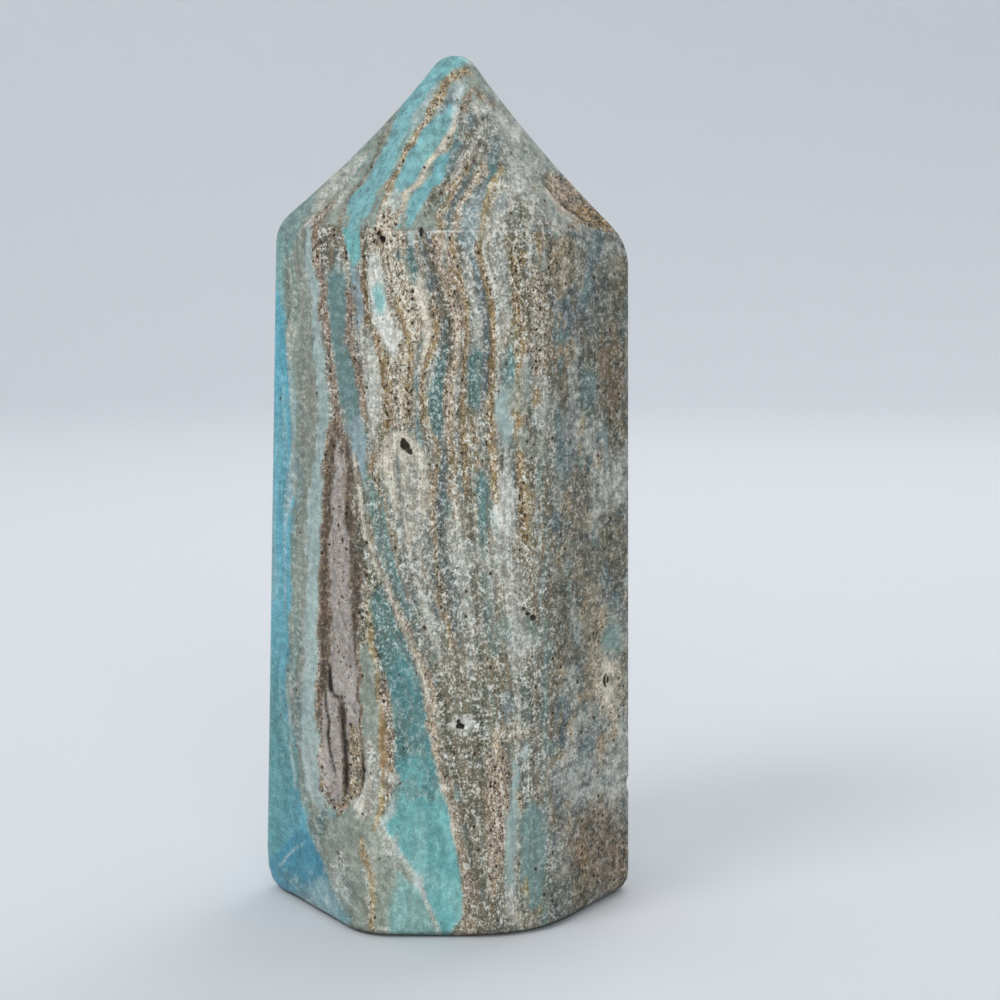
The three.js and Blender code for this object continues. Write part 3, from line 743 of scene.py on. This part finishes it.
# The layers as the slanting facets of the tip cut them
TIP_FACET = {"columns": (484, 640), "rows": (90, 232)}
TIP = (
    band("green grey", (40, 400, 520), (100, 380, 520), (150, 340, 600), (200, 280, 640),
         (232, 262, 640)),
    band("teal grey", (185, 290, 330), (205, 270, 316), (232, 260, 300), soft=8),
    band("pale grey", (150, 352, 376), (180, 330, 356), (205, 316, 342), (225, 300, 316), soft=6,
         strength=0.7),
    band("pink brown", (196, 334, 346), (212, 318, 330), (232, 312, 320), soft=4, strength=0.8),
    line("brown", (116, 391), (160, 375), (180, 365), (200, 350), (226, 338), width=3.5, soft=3,
         strength=0.7),
    band("grey", (100, 434, 560), (160, 440, 600), (200, 440, 620), (232, 440, 640), soft=6),
    band("porous cream", (190, 386, 402), (232, 361, 403), soft=4),
    band("light blue", (40, 425, 500), (62, 425, 466), (70, 425, 456), (80, 415, 441), (100, 404, 430),
         (120, 395, 415), (140, 388, 403), (160, 380, 394), (180, 369, 385), (200, 351, 374),
         (232, 343, 359), soft=2.5),
    laminae("aqua", 0.15, 111, across=0.5, along=12.0, columns=(345, 470), rows=(50, 235), strength=0.5),
    laminae("teal blue", 0.35, 113, across=0.4, along=10.0, columns=(345, 440), rows=(70, 235),
            strength=0.6),
    band("pale aqua", (78, 436, 443), (100, 426, 433), (120, 412, 420), (135, 404, 410)),
    band("tan", (66, 457, 472), (74, 448, 478), (82, 441, 452), (90, 437, 446), (120, 423, 430),
         (140, 408, 416), (160, 399, 404), (180, 388, 394), (205, 378, 388)),
    band("blue grey", (76, 458, 480), (90, 447, 464), (130, 426, 452)),
    band("light blue", (100, 444, 458), (120, 432, 454), (140, 417, 446), (160, 405, 430),
         (180, 395, 420), (198, 388, 405), soft=4, strength=0.85),
    blotches("aqua", 1.8, 0.2, 71, columns=(395, 456), rows=(110, 200), strength=0.7),
    band("white aqua", (80, 458, 466), (100, 451, 460), (120, 450, 457), (135, 446, 452), soft=5,
         strength=0.6),
    band("white aqua", (190, 390, 404), (214, 384, 403), soft=5, strength=0.8),
    line("cream", (112, 458), (128, 453), (145, 443), (155, 434), (185, 417), (195, 406), (212, 402),
         width=6, soft=3),
    band("light blue", (138, 456, 466), (150, 444, 461), (160, 437, 452), (180, 428, 441),
         (200, 410, 425), (212, 405, 418), (228, 404, 415)),
    patch("slate", 455, 152, 8, 10, soft=0.8, strength=0.8),
    band("dark olive", (118, 474, 484), (135, 465, 477), (160, 454, 463), (180, 442, 453),
         (200, 426, 440), (216, 419, 431), soft=4, strength=0.8),
    band("pink brown", (86, 470, 474), (96, 463, 474), (112, 458, 466), soft=2.5),
    line("brown", (87, 473), (102, 493), (122, 513), width=9, soft=6),
    band("white", (100, 474, 484), (112, 470, 492), (118, 478, 496), soft=5, strength=0.8),
    patch("slate", 471, 118, 5, 8, soft=0.8),
    *leaves(columns=(446, 512), rows=(140, 260)),
    band("tan", (155, 466, 474), (180, 455, 465), (200, 441, 450), (215, 436, 444), (250, 433, 441)),
    band("slate", (165, 468, 474), (190, 458, 466), (200, 452, 458), (215, 446, 450), (250, 442, 447)),
    band("pink tan", (145, 488, 493), (165, 480, 488), (210, 455, 462), (250, 447, 457)),
    band("blue grey", (180, 480, 492), (215, 464, 476), (250, 458, 474)),
    band("ochre", (145, 500, 505), (170, 496, 501), (215, 480, 485), (250, 477, 481)),
    band("slate teal", (140, 492, 504), (185, 484, 490), soft=4),
    band("pale grey", (155, 507, 514), (185, 505, 524), (200, 497, 512), (250, 488, 504), soft=4),
    band("speckled olive", (185, 528, 540), (210, 518, 532), (250, 508, 528), soft=4),
    blotches("slate", 1.9, 0.4, 75, columns=(450, 545), rows=(130, 232), strength=0.6),
    band("green grey", (90, 478, 560), (130, 502, 560), (180, 530, 640), (232, 550, 640), soft=8,
         strength=0.7),
    blotches("pale grey", 1.9, 0.1, 77, strength=0.8, **TIP_FACET),
    blotches("slate", 1.5, 0.45, 79, strength=0.5, **TIP_FACET),
    band("white", (104, 482, 500), (114, 484, 514), (130, 500, 524), (146, 512, 530), soft=6,
         strength=0.5),
    patch("slate", 496, 152, 9, 12, soft=0.8, strength=0.8),
)

# The rough broken edge on the right of the tip
CHIP = (
    band("pink tan", (172, 540, 562), (190, 546, 586), (210, 562, 606), (232, 590, 622), taper=6),
    band("rust", (206, 568, 606), (218, 574, 612), (232, 590, 622), soft=8, taper=6),
    blotches("brown", 0.9, 0.1, 87, columns=(544, 612), rows=(176, 232), strength=0.7),
    line("cream", (183, 541), (204, 558), (214, 569), (221, 580), (229, 596), width=4, soft=2,
         strength=0.7),
    line("dark brown", (184, 545), (192, 552), (199, 561), (208, 566), (215, 577), (223, 585), (227, 598),
         width=3.5, soft=2.5, strength=0.8),
    # Painted shade along the wall of the chip's crack
    line("shade", (186, 547), (192, 551), (199, 560), (208, 565), (215, 576), (222, 584), width=1.8,
         soft=1.4),
)

# Column, row, half width and half height of the larger holes, and how deep their painted shade reaches, in
# pixels
HOLES = ((402, 441, 3.0, 5.2), (406, 446, 3.6, 4.8), (410, 450, 2.4, 3.2), (460, 725, 3.6, 3.2),
         (457, 722, 2.4, 2.2), (534, 619, 3.0, 3.0), (529, 612, 3.0, 1.6), (421, 230, 2.4, 3.6),
         (422, 234, 1.8, 2.2), (378, 233, 2.4, 3.8), (382, 239, 2.2, 3.2), (375, 241, 1.6, 1.8),
         (341, 541, 1.6, 3.4), (402, 160, 1.8, 2.6), (608, 682, 1.5, 8.0))
HOLE_SHADE_DEEP = 6.0

# Pale or brown stone round the larger holes
HOLE_RIMS = (
    patch("tan", 380, 237, 8, 8, soft=0.6, strength=0.7),
    patch("white", 460, 725, 8, 7, soft=0.6, strength=0.8),
    patch("cream", 405, 447, 7, 9, soft=0.6, strength=0.8),
    patch("cream", 608, 680, 7, 20),
)

# The painted highlight along the front side's shoulder edge, as (column, row) ends, and the painted shade
# round the foot
EDGE_LEFT = (379, 232.4)
EDGE_RIGHT = (545, 230.2)
EDGE_HALF = 0.9
EDGE_REACH = 1.3
EDGE_FADE = 4
EDGE_HIGHLIGHT = 0.75
EDGE_HIGHLIGHT_LEAST = 0.2
EDGE_HIGHLIGHT_CELL = 1.1
FOOT_SHADE = 0.8
FOOT_SHADE_HEIGHT = 0.6
FOOT_SHADE_REACH = 1.5

# The height round the shoulder over which the tip's strokes set in
SHOULDER_BLEND = 0.5


def paint_tip_over(paint):
    """Lays the tip's strokes on, but only above the shoulder."""
    colour = paint.colour.copy()
    feel = paint.feel.copy()
    paint.lay(TIP)
    above = np.clip((paint.points[:, 2] - SHOULDER_AT) / SHOULDER_BLEND + 0.5, 0.0, 1.0)[:, None]
    paint.colour = colour + above * (paint.colour - colour)
    paint.feel = feel + above * (paint.feel - feel)


def paint_edge_highlight_and_foot_shade(paint):
    """Painted highlight along the shoulder edge, and painted shade round the foot."""
    columns, rows = zip(EDGE_LEFT, EDGE_RIGHT)
    across, down = picture_place(paint.points)
    off = np.abs(down - np.interp(across, columns, rows)) / EDGE_HALF
    seen = np.clip((across - columns[0]) / EDGE_FADE, 0, 1)
    seen = seen * np.clip((columns[1] - across) / EDGE_FADE, 0, 1) * (paint.points[:, 1] < 0)
    seen = seen * np.clip(EDGE_HIGHLIGHT + smooth_noise(paint.points, EDGE_HIGHLIGHT_CELL, seed=31), EDGE_HIGHLIGHT_LEAST, 1)
    # Painted highlight: white laid along the shoulder edge, broken up by noise
    paint.cover(seen * np.clip(EDGE_REACH - off, 0, 1), "white")
    # Painted shade: dark laid over the lowest part of the foot, where the stone meets the floor
    foot_shade = np.clip(FOOT_SHADE_REACH - paint.points[:, 2] / FOOT_SHADE_HEIGHT, 0, 1)
    paint.cover(FOOT_SHADE * foot_shade, "shade")


def paint_stone(points, across, down, sheet):
    paint = Painting(points, across, down, sheet, "grey")
    for strokes in (LEFT_SIDE, LEFT_FOOT, FRONT_UPPER, RUSTY_LINES, FRONT_LOWER, LEFT_OF_EDGE, WEDGE,
                    CREAM_VEIN, LENS, RIGHT_SIDE):
        paint.lay(strokes)
    paint_tip_over(paint)
    paint.lay(CHIP)
    paint.lay(HOLE_RIMS)
    paint_edge_highlight_and_foot_shade(paint)
    return paint


# The small relief: pits, dull roughness and the larger holes

PIT_DEPTH = 0.13
PIT_CELL = 0.8
FINE_PIT = 0.6
ROUGH_DEPTH = 0.04
ROUGH_CELL = 1.28
HOLE_DEPTH = 0.5
HOLE_REACH = 1.3
HIDDEN_BEHIND = 1.0
FLAT_FOOT = 1.5


def hole_points(points, across, down):
    """The number of the skin's point at the middle of each hole."""
    behind = np.where(points[:, 1] > HIDDEN_BEHIND, PICTURE_SIZE, 0.0)
    return [np.argmin(np.hypot(across - column, down - row) + behind) for column, row, *_ in HOLES]


def outward(grid):
    """The direction that faces out of the stone at every point of the grid."""
    along_ring = np.roll(grid, -1, axis=1) - np.roll(grid, 1, axis=1)
    up = np.gradient(grid, axis=0)
    normal = np.cross(along_ring, up)
    return normal / np.maximum(np.linalg.norm(normal, axis=2, keepdims=True), 1e-9)


def roughened(points, grid, paint, holes):
    """The points sunk a little where the stone is porous, dull or holed, but never on the foot."""
    porous = paint.feel[:-2, 0]
    dull = 1 - paint.feel[:-2, 2]
    skin = points[:-2]
    pits = smooth_noise(skin, PIT_CELL, seed=15)
    pits += FINE_PIT * smooth_noise(skin, PIT_CELL / 2, seed=16)
    depth = PIT_DEPTH * porous * np.clip(pits, 0, 1)
    depth += ROUGH_DEPTH * dull * (0.5 + 0.5 * smooth_noise(skin, ROUGH_CELL, seed=17))
    for middle, (_, _, wide, high) in zip(holes, HOLES):
        away = np.linalg.norm(skin - points[middle], axis=1) / (max(wide, high) * PIXEL)
        depth = np.maximum(depth, HOLE_DEPTH * np.clip(HOLE_REACH - away, 0, 1))
    depth *= np.clip(skin[:, 2] / FLAT_FOOT, 0, 1)
    sunk = skin - outward(grid).reshape(-1, 3) * depth[:, None]
    return np.vstack([sunk, points[-2:]])


def make_stone(points, faces, paint, sheet, grain, leafy):
    mesh = bpy.data.meshes.new("stone_skin")
    mesh.from_pydata((points * MM).tolist(), [], faces)
    mesh.update()
    mesh.shade_smooth()
    tone = np.hstack([paint.colour, np.ones((len(points), 1))])
    feel = np.hstack([paint.feel, leafy[:, None]])
    for name, values in (("tone", tone), ("feel", feel)):
        layer = mesh.attributes.new(name, "FLOAT_COLOR", "POINT")
        layer.data.foreach_set("color", values.astype(np.float32).ravel())
    for name, values in (("sheet", sheet), ("grain", grain)):
        layer = mesh.attributes.new(name, "FLOAT_VECTOR", "POINT")
        layer.data.foreach_set("vector", values.astype(np.float32).ravel())
    stone = bpy.data.objects.new("stone", mesh)
    bpy.context.collection.objects.link(stone)
    return stone


# The stone's material

# Each noise: what it follows, its waves per millimetre, its detail and its roughness
NOISES = {
    "leaf": ("sheet", (1.0, 0.25, 0.07), 2.0, 0.5),
    "streak": ("sheet", (3.2, 0.6, 0.28), 2.0, 0.6),
    "thin streak": ("sheet", (8.0, 1.2, 0.7), 1.0, 0.6),
    "hue": ("sheet", (1.3, 0.6, 0.5), 2.0, 0.6),
    "cloud": ("grain", (0.8, 0.8, 0.8), 2.0, 0.6),
    "mottle": ("grain", (1.5, 1.5, 1.5), 2.0, 0.6),
    "speck": ("grain", (6.5, 6.5, 6.5), 1.0, 0.5),
    "sugar": ("grain", (3.7, 3.7, 3.3), 2.0, 0.75),
    "rust": ("grain", (3.0, 3.0, 2.8), 1.0, 0.6),
    "pits": ("grain", (3.0, 3.0, 2.6), 2.0, 0.6),
}

# Each range: a value's low and high end, and what it becomes at each of them
RANGES = {
    "warm hue": (0.52, 0.68, 0.0, 0.34),
    "cool hue": (0.34, 0.50, 0.46, 0.0),
    "streak light": (0.3, 0.7, -0.10, 0.10),
    "thin streak light": (0.3, 0.7, -0.06, 0.06),
    "cloud light": (0.32, 0.68, -0.42, 0.42),
    "mottle light": (0.3, 0.7, -1.0, 1.0),
    "leaf light": (0.35, 0.65, -1.0, 1.0),
    "speck light": (0.3, 0.7, -1.0, 1.0),
    "grainy spots": (0.3, 0.7, 0.25, 1.25),
    "pale grains": (0.51, 0.61, 0.0, 0.90),
    "dark gaps": (0.39, 0.48, 0.94, 0.0),
    "seams": (0.006, 0.028, 1.0, 0.0),
    "porous spots": (0.35, 0.65, 0.25, 0.95),
    "rust spots": (0.54, 0.62, 0.0, 0.65),
    "pore size": (0.0, 1.0, 0.14, 0.42),
    "pores": (0.7, 1.1, 1.0, 0.0),
    "rings": (0.9, 2.2, 1.0, 0.0),
    "pits": (0.0, 0.035, 0.0, 1.0),
    "pit rings": (-0.08, 0.0, 0.0, 1.0),
    "hole_shade": (0.8, 1.05, 1.0, 0.0),
    "polish": (0.0, 1.0, 0.72, 0.30),
    "speck roughness": (0.3, 0.7, -0.06, 0.06),
}

# Each reach: how much a full feel adds, and what is there without it
REACHES = {
    "mottle light": (0.24, 0.12),
    "leaf light": (0.22, 0.06),
    "speck light": (0.30, 0.05),
    "leafy grains": (0.45, 0.55),
    "pits": (0.20, 0.26),
    "sunk pits": (0.14, 0.26),
}

# Tints as shares of light
# The dark of pores and pits, which is also the painted shade in the larger holes
PORE_AND_HOLE_SHADE_TINT = (0.030, 0.022, 0.016, 1.0)
HALO_TINT = (0.27, 0.18, 0.105, 1.0)
RUST_TINT = (0.42, 0.27, 0.11, 1.0)
GRAIN_TINT = (0.88, 0.89, 0.83, 1.0)
SHADOW_TINT = (0.050, 0.056, 0.045, 1.0)
WARM_TINT = (0.36, 0.26, 0.15, 1.0)
COOL_TINT = (0.15, 0.25, 0.25, 1.0)

# How strongly the material shows each of its looks
NOISE_MIDDLE = 0.5
SUGAR_FOLLOWS = (("streak", 0.10), ("mottle", 0.35))
SEAM_STAIN = 0.55
SEAM_PORES = 0.5
PORES_PER_MM = (2.2, 2.2, 1.8)
PORE_CHANCE = 0.60
PIT_DARKNESS = 0.85
HALO_DARKNESS = 0.40
# How dark pores, pits and the painted shade in the larger holes become
HOLE_DARKNESS = 0.96
SPECK_RELIEF = 0.6
REFRACTION = 1.53
SHEEN = 0.17

# The noise that shifts places to and fro, how far it does, and the height of the fine relief, in mm
WANDER_NOISE = ((5.0, 5.0, 5.0), 2.0, 0.5)
WANDER = 0.28
RELIEF = 0.09


class Nodes:
    """Short ways to add and join shader nodes."""

    def __init__(self, material):
        material.use_nodes = True
        self.tree = material.node_tree
        self.shader = self.tree.nodes["Principled BSDF"]

    def add(self, kind, **settings):
        node = self.tree.nodes.new(kind)
        for name, value in settings.items():
            setattr(node, name, value)
        return node

    def put(self, value, socket):
        """Links another node's output to the socket, or sets a plain value."""
        if isinstance(value, bpy.types.NodeSocket):
            self.tree.links.new(value, socket)
        else:
            socket.default_value = value

    def math(self, operation, *values, clamp=False):
        node = self.add("ShaderNodeMath", operation=operation, use_clamp=clamp)
        for value, socket in zip(values, node.inputs):
            self.put(value, socket)
        return node.outputs[0]

    def times(self, a, b):
        return self.math("MULTIPLY", a, b)

    def over(self, value, name):
        """The value, spread smoothly over a named range."""
        node = self.add("ShaderNodeMapRange", interpolation_type="SMOOTHSTEP")
        for wanted, socket in zip((value, *RANGES[name]), node.inputs):
            self.put(wanted, socket)
        return node.outputs[0]

    def reach(self, feel, name):
        """How strongly a look shows for the feel."""
        return self.math("MULTIPLY_ADD", feel, *REACHES[name])

    def mix(self, share, a, b):
        node = self.add("ShaderNodeMix", data_type="RGBA")
        self.put(share, node.inputs["Factor"])
        self.put(a, node.inputs[6])
        self.put(b, node.inputs[7])
        return node.outputs[2]

    def vectors(self, operation, *values):
        node = self.add("ShaderNodeVectorMath", operation=operation)
        for value, socket in zip(values, node.inputs):
            self.put(value, socket)
        return node

    def scaled(self, vector, scale):
        return self.vectors("MULTIPLY", vector, scale).outputs[0]

    def noise(self, vector, detail, roughness):
        node = self.add("ShaderNodeTexNoise")
        self.put(vector, node.inputs["Vector"])
        self.put(1.0, node.inputs["Scale"])
        self.put(detail, node.inputs["Detail"])
        self.put(roughness, node.inputs["Roughness"])
        return node

    def scattered(self, vector, share):
        """Uneven spots round some scattered points, more of them where the share is larger,
        and the wider rings round the same points."""
        cells = self.add("ShaderNodeTexVoronoi")
        self.put(vector, cells.inputs["Vector"])
        self.put(1.0, cells.inputs["Scale"])
        random = self.add("ShaderNodeSeparateColor")
        self.put(cells.outputs["Color"], random.inputs[0])
        chosen = self.math("LESS_THAN", random.outputs[0], share)
        away = self.math("DIVIDE", cells.outputs["Distance"], self.over(random.outputs[1], "pore size"))
        return self.times(self.over(away, "pores"), chosen), self.times(self.over(away, "rings"), chosen)


class Stone(Nodes):
    """The stone's look, made of its painted minerals and of noise."""

    def __init__(self, material):
        super().__init__(material)
        self.tone = self.painted("tone").outputs["Color"]
        feel = self.painted("feel")
        self.leafy = feel.outputs["Alpha"]
        parts = self.add("ShaderNodeSeparateColor")
        self.put(feel.outputs["Color"], parts.inputs[0])
        self.porous, self.grainy, self.glossy = parts.outputs
        self.place = self.uneven(self.painted("grain").outputs["Vector"])
        follows = {"sheet": self.painted("sheet").outputs["Vector"], "grain": self.place}
        self.field = {}
        for name, (followed, per_mm, detail, roughness) in NOISES.items():
            vector = self.scaled(follows[followed], per_mm)
            self.field[name] = self.noise(vector, detail, roughness).outputs[0]

    def painted(self, name):
        return self.add("ShaderNodeAttribute", attribute_name=name)

    def uneven(self, place):
        """The same place, shifted a little to and fro, so that spots lose their round outline."""
        per_mm, detail, roughness = WANDER_NOISE
        wander = self.noise(self.scaled(place, per_mm), detail, roughness)
        return self.vectors("MULTIPLY_ADD", wander.outputs["Color"], (WANDER,) * 3, place).outputs[0]

    def ranged(self, name, use):
        """A noise, spread over the range that bears its name and its use."""
        return self.over(self.field[name], name + " " + use)

    def tinted(self):
        """The mineral's colour, with warmer and cooler parts where it is grainy."""
        cloud = self.field["cloud"]
        hue = self.math("MULTIPLY_ADD", self.math("SUBTRACT", self.field["hue"], cloud), self.leafy, cloud)
        warm = self.times(self.over(hue, "warm hue"), self.grainy)
        cool = self.times(self.over(hue, "cool hue"), self.grainy)
        return self.mix(cool, self.mix(warm, self.tone, WARM_TINT), COOL_TINT)

    def lit(self, colour):
        """The colour, lighter and darker in streaks, clouds, mottle, leaves and specks."""
        light = self.math("ADD", self.ranged("streak", "light"), self.ranged("thin streak", "light"))
        light = self.math("MULTIPLY_ADD", light, self.leafy, 1.0)
        rough = self.math("ADD", self.grainy, self.porous)
        for name, reach in (
            ("cloud", self.math("SUBTRACT", 1.0, self.leafy)),
            ("mottle", self.reach(self.grainy, "mottle light")),
            ("leaf", self.times(self.reach(self.grainy, "leaf light"), self.leafy)),
            ("speck", self.reach(rough, "speck light")),
        ):
            light = self.math("ADD", light, self.times(self.ranged(name, "light"), reach))
        node = self.add("ShaderNodeVectorMath", operation="SCALE")
        self.put(colour, node.inputs[0])
        self.put(light, node.inputs["Scale"])
        return node.outputs[0]

    def grained(self, colour):
        """Pale grains and the dark gaps between them."""
        sugar = self.field["sugar"]
        for name, share in SUGAR_FOLLOWS:
            off = self.math("SUBTRACT", self.field[name], NOISE_MIDDLE)
            sugar = self.math("MULTIPLY_ADD", off, share, sugar)
        share = self.times(self.grainy, self.over(self.field["mottle"], "grainy spots"))
        share = self.times(share, self.reach(self.leafy, "leafy grains"))
        colour = self.mix(self.times(self.over(sugar, "pale grains"), share), colour, GRAIN_TINT)
        return self.mix(self.times(self.over(sugar, "dark gaps"), share), colour, SHADOW_TINT)

    def seams(self):
        """Thin porous seams where one leaf meets the next."""
        off = self.math("ABSOLUTE", self.math("SUBTRACT", self.field["leaf"], NOISE_MIDDLE))
        return self.times(self.times(self.over(off, "seams"), self.grainy), self.leafy)

    def hole_shade(self, middles):
        """Painted shade in the larger holes, as uneven as the pores."""
        hole_shade = 0.0
        for middle, (_, _, wide, high) in zip(middles, HOLES):
            size = np.array([wide, HOLE_SHADE_DEEP, high]) * PIXEL
            away = self.vectors("SUBTRACT", self.place, middle + WANDER / 2).outputs[0]
            length = self.vectors("LENGTH", self.scaled(away, 1 / size)).outputs["Value"]
            hole_shade = self.math("MAXIMUM", self.over(length, "hole_shade"), hole_shade)
        return hole_shade

    def pored(self, colour, middles):
        """Stained seams, rust, pits, pores and painted shade in the larger holes."""
        seams = self.seams()
        colour = self.mix(self.times(seams, SEAM_STAIN), colour, HALO_TINT)
        porous = self.math("ADD", self.porous, self.times(seams, SEAM_PORES))
        porous = self.times(porous, self.over(self.field["mottle"], "porous spots"))
        colour = self.mix(self.times(self.ranged("rust", "spots"), porous), colour, RUST_TINT)
        pores, rings = self.scattered(self.scaled(self.place, PORES_PER_MM),
                                      self.times(porous, PORE_CHANCE))
        depth = self.math("SUBTRACT", self.reach(porous, "pits"), self.field["pits"])
        rings = self.math("MAXIMUM", rings, self.over(depth, "pit rings"))
        colour = self.mix(self.times(rings, HALO_DARKNESS), colour, HALO_TINT)
        holes = self.math("MAXIMUM", pores, self.times(self.over(depth, "pits"), PIT_DARKNESS))
        # Painted shade in the larger holes
        holes = self.math("MAXIMUM", holes, self.hole_shade(middles))
        return self.mix(self.times(holes, HOLE_DARKNESS), colour, PORE_AND_HOLE_SHADE_TINT)

    def gloss(self):
        """Roughness: low on the glossy minerals, and uneven in specks."""
        rough = self.over(self.glossy, "polish")
        return self.math("ADD", rough, self.ranged("speck", "roughness"), clamp=True)

    def relief(self):
        """Specks on dull stone, and pits."""
        dull = self.math("SUBTRACT", 1.0, self.glossy)
        height = self.times(self.times(self.field["speck"], dull), SPECK_RELIEF)
        sunk = self.math("SUBTRACT", self.reach(self.porous, "sunk pits"), self.field["pits"])
        bump = self.add("ShaderNodeBump")
        self.put(1.0, bump.inputs["Strength"])
        self.put(RELIEF * MM, bump.inputs["Distance"])
        self.put(self.math("SUBTRACT", height, self.over(sunk, "pits")), bump.inputs["Height"])
        return bump.outputs[0]


def stone_material(middles):
    material = bpy.data.materials.new("banded_aragonite")
    stone = Stone(material)
    colour = stone.pored(stone.grained(stone.lit(stone.tinted())), middles)
    looks = {"Base Color": colour, "Roughness": stone.gloss(), "IOR": REFRACTION,
             "Specular IOR Level": SHEEN, "Normal": stone.relief()}
    for name, value in looks.items():
        stone.put(value, stone.shader.inputs[name])
    return material


# The studio: one pale curved sweep, soft lights and the camera

SWEEP_FLOOR = 700.0
SWEEP_BEND = 500.0
SWEEP_HEIGHT = 1100.0
SWEEP_SIDES = 96
BEND_STEPS = 24
SWEEP_COLOUR = (0.86, 0.885, 0.91)
WORLD_COLOUR = (0.86, 0.91, 1.0)
WORLD_LIGHT = 0.27
SWEEP_ROUGHNESS = 0.7
STONE_MIDDLE = (0.0, 0.0, 45.0)


def sweep_profile():
    """The floor's edge, a quarter bend and a wall, as (radius, height)."""
    profile = [(SWEEP_FLOOR, 0.0)]
    for step in range(1, BEND_STEPS + 1):
        turn = math.pi / 2 * step / BEND_STEPS
        profile.append((SWEEP_FLOOR + SWEEP_BEND * math.sin(turn), SWEEP_BEND * (1 - math.cos(turn))))
    profile.append((SWEEP_FLOOR + SWEEP_BEND, SWEEP_HEIGHT))
    return profile


def make_sweep():
    vertices = [(0.0, 0.0, 0.0)]
    for radius, height in sweep_profile():
        for side in range(SWEEP_SIDES):
            turn = 2 * math.pi * side / SWEEP_SIDES
            vertices.append((radius * math.cos(turn) * MM, radius * math.sin(turn) * MM, height * MM))
    faces = [(0, 1 + side, 1 + (side + 1) % SWEEP_SIDES) for side in range(SWEEP_SIDES)]
    for ring in range(len(sweep_profile()) - 1):
        low = 1 + ring * SWEEP_SIDES
        for side in range(SWEEP_SIDES):
            turned = (side + 1) % SWEEP_SIDES
            faces.append((low + side, low + SWEEP_SIDES + side, low + SWEEP_SIDES + turned, low + turned))
    mesh = bpy.data.meshes.new("sweep")
    mesh.from_pydata(vertices, [], faces)
    mesh.shade_smooth()
    sweep = bpy.data.objects.new("sweep", mesh)
    bpy.context.collection.objects.link(sweep)
    material = bpy.data.materials.new("sweep")
    material.use_nodes = True
    shader = material.node_tree.nodes["Principled BSDF"]
    shader.inputs["Base Color"].default_value = (*SWEEP_COLOUR, 1.0)
    shader.inputs["Roughness"].default_value = SWEEP_ROUGHNESS
    mesh.materials.append(material)
    return sweep


# Name, place, aim, size and power of each soft light
LIGHTS = (
    ("key", (-420.0, -430.0, 620.0), STONE_MIDDLE, 380.0, 2.0),
    ("front", (60.0, -700.0, 330.0), STONE_MIDDLE, 500.0, 1.3),
    ("back", (250.0, 500.0, 650.0), STONE_MIDDLE, 500.0, 1.2),
    ("wall", (0.0, 150.0, 800.0), (0.0, 1200.0, 250.0), 600.0, 2.3),
)


def make_lights():
    for name, place, aim, size, power in LIGHTS:
        data = bpy.data.lights.new(name, "AREA")
        data.shape = "DISK"
        data.size = size * MM
        data.energy = power
        light = bpy.data.objects.new(name, data)
        light.location = Vector(place) * MM
        light.rotation_euler = (Vector(aim) - Vector(place)).to_track_quat("-Z", "Y").to_euler()
        bpy.context.collection.objects.link(light)
    world = bpy.data.worlds.new("studio")
    world.use_nodes = True
    background = world.node_tree.nodes["Background"]
    background.inputs["Color"].default_value = (*WORLD_COLOUR, 1.0)
    background.inputs["Strength"].default_value = WORLD_LIGHT
    bpy.context.scene.world = world
    bpy.context.scene.view_settings.view_transform = "Standard"


def make_camera():
    data = bpy.data.cameras.new("camera")
    data.lens = CAMERA_LENS
    data.sensor_width = CAMERA_SENSOR
    camera = bpy.data.objects.new("camera", data)
    camera.location = Vector(CAMERA_AT) * MM
    camera.rotation_euler = (math.pi / 2 - CAMERA_TILT, 0.0, 0.0)
    bpy.context.collection.objects.link(camera)
    bpy.context.scene.camera = camera


# Everything together

grid, seen, points = stone_skin()
across, down = follow_layers(grid, seen)
poles_across, poles_down = picture_place(points[-2:])
across = np.concatenate([across, poles_across])
down = np.concatenate([down, poles_down])
sway = LAYER_SWAY * smooth_noise(points, LAYER_SWAY_CELL, seed=7)
sheet = np.column_stack([layer_place(across, down) + sway, points @ np.array(LAYER_ALONG), points[:, 2]])
grain = np.column_stack([across * PIXEL, sheet[:, 1] * GRAIN_STRETCH, points[:, 2]])
paint = paint_stone(points, across, down, sheet)
holes = hole_points(points, across, down)
leafy = leaf_strength(points, across, down)
points = roughened(points, grid, paint, holes)
stone = make_stone(points, grid_faces(*grid.shape[:2]), paint, sheet, grain, leafy)
stone.data.materials.append(stone_material(grain[holes]))
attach(stone, "root")
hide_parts("point")
make_sweep()
make_lights()
make_camera()
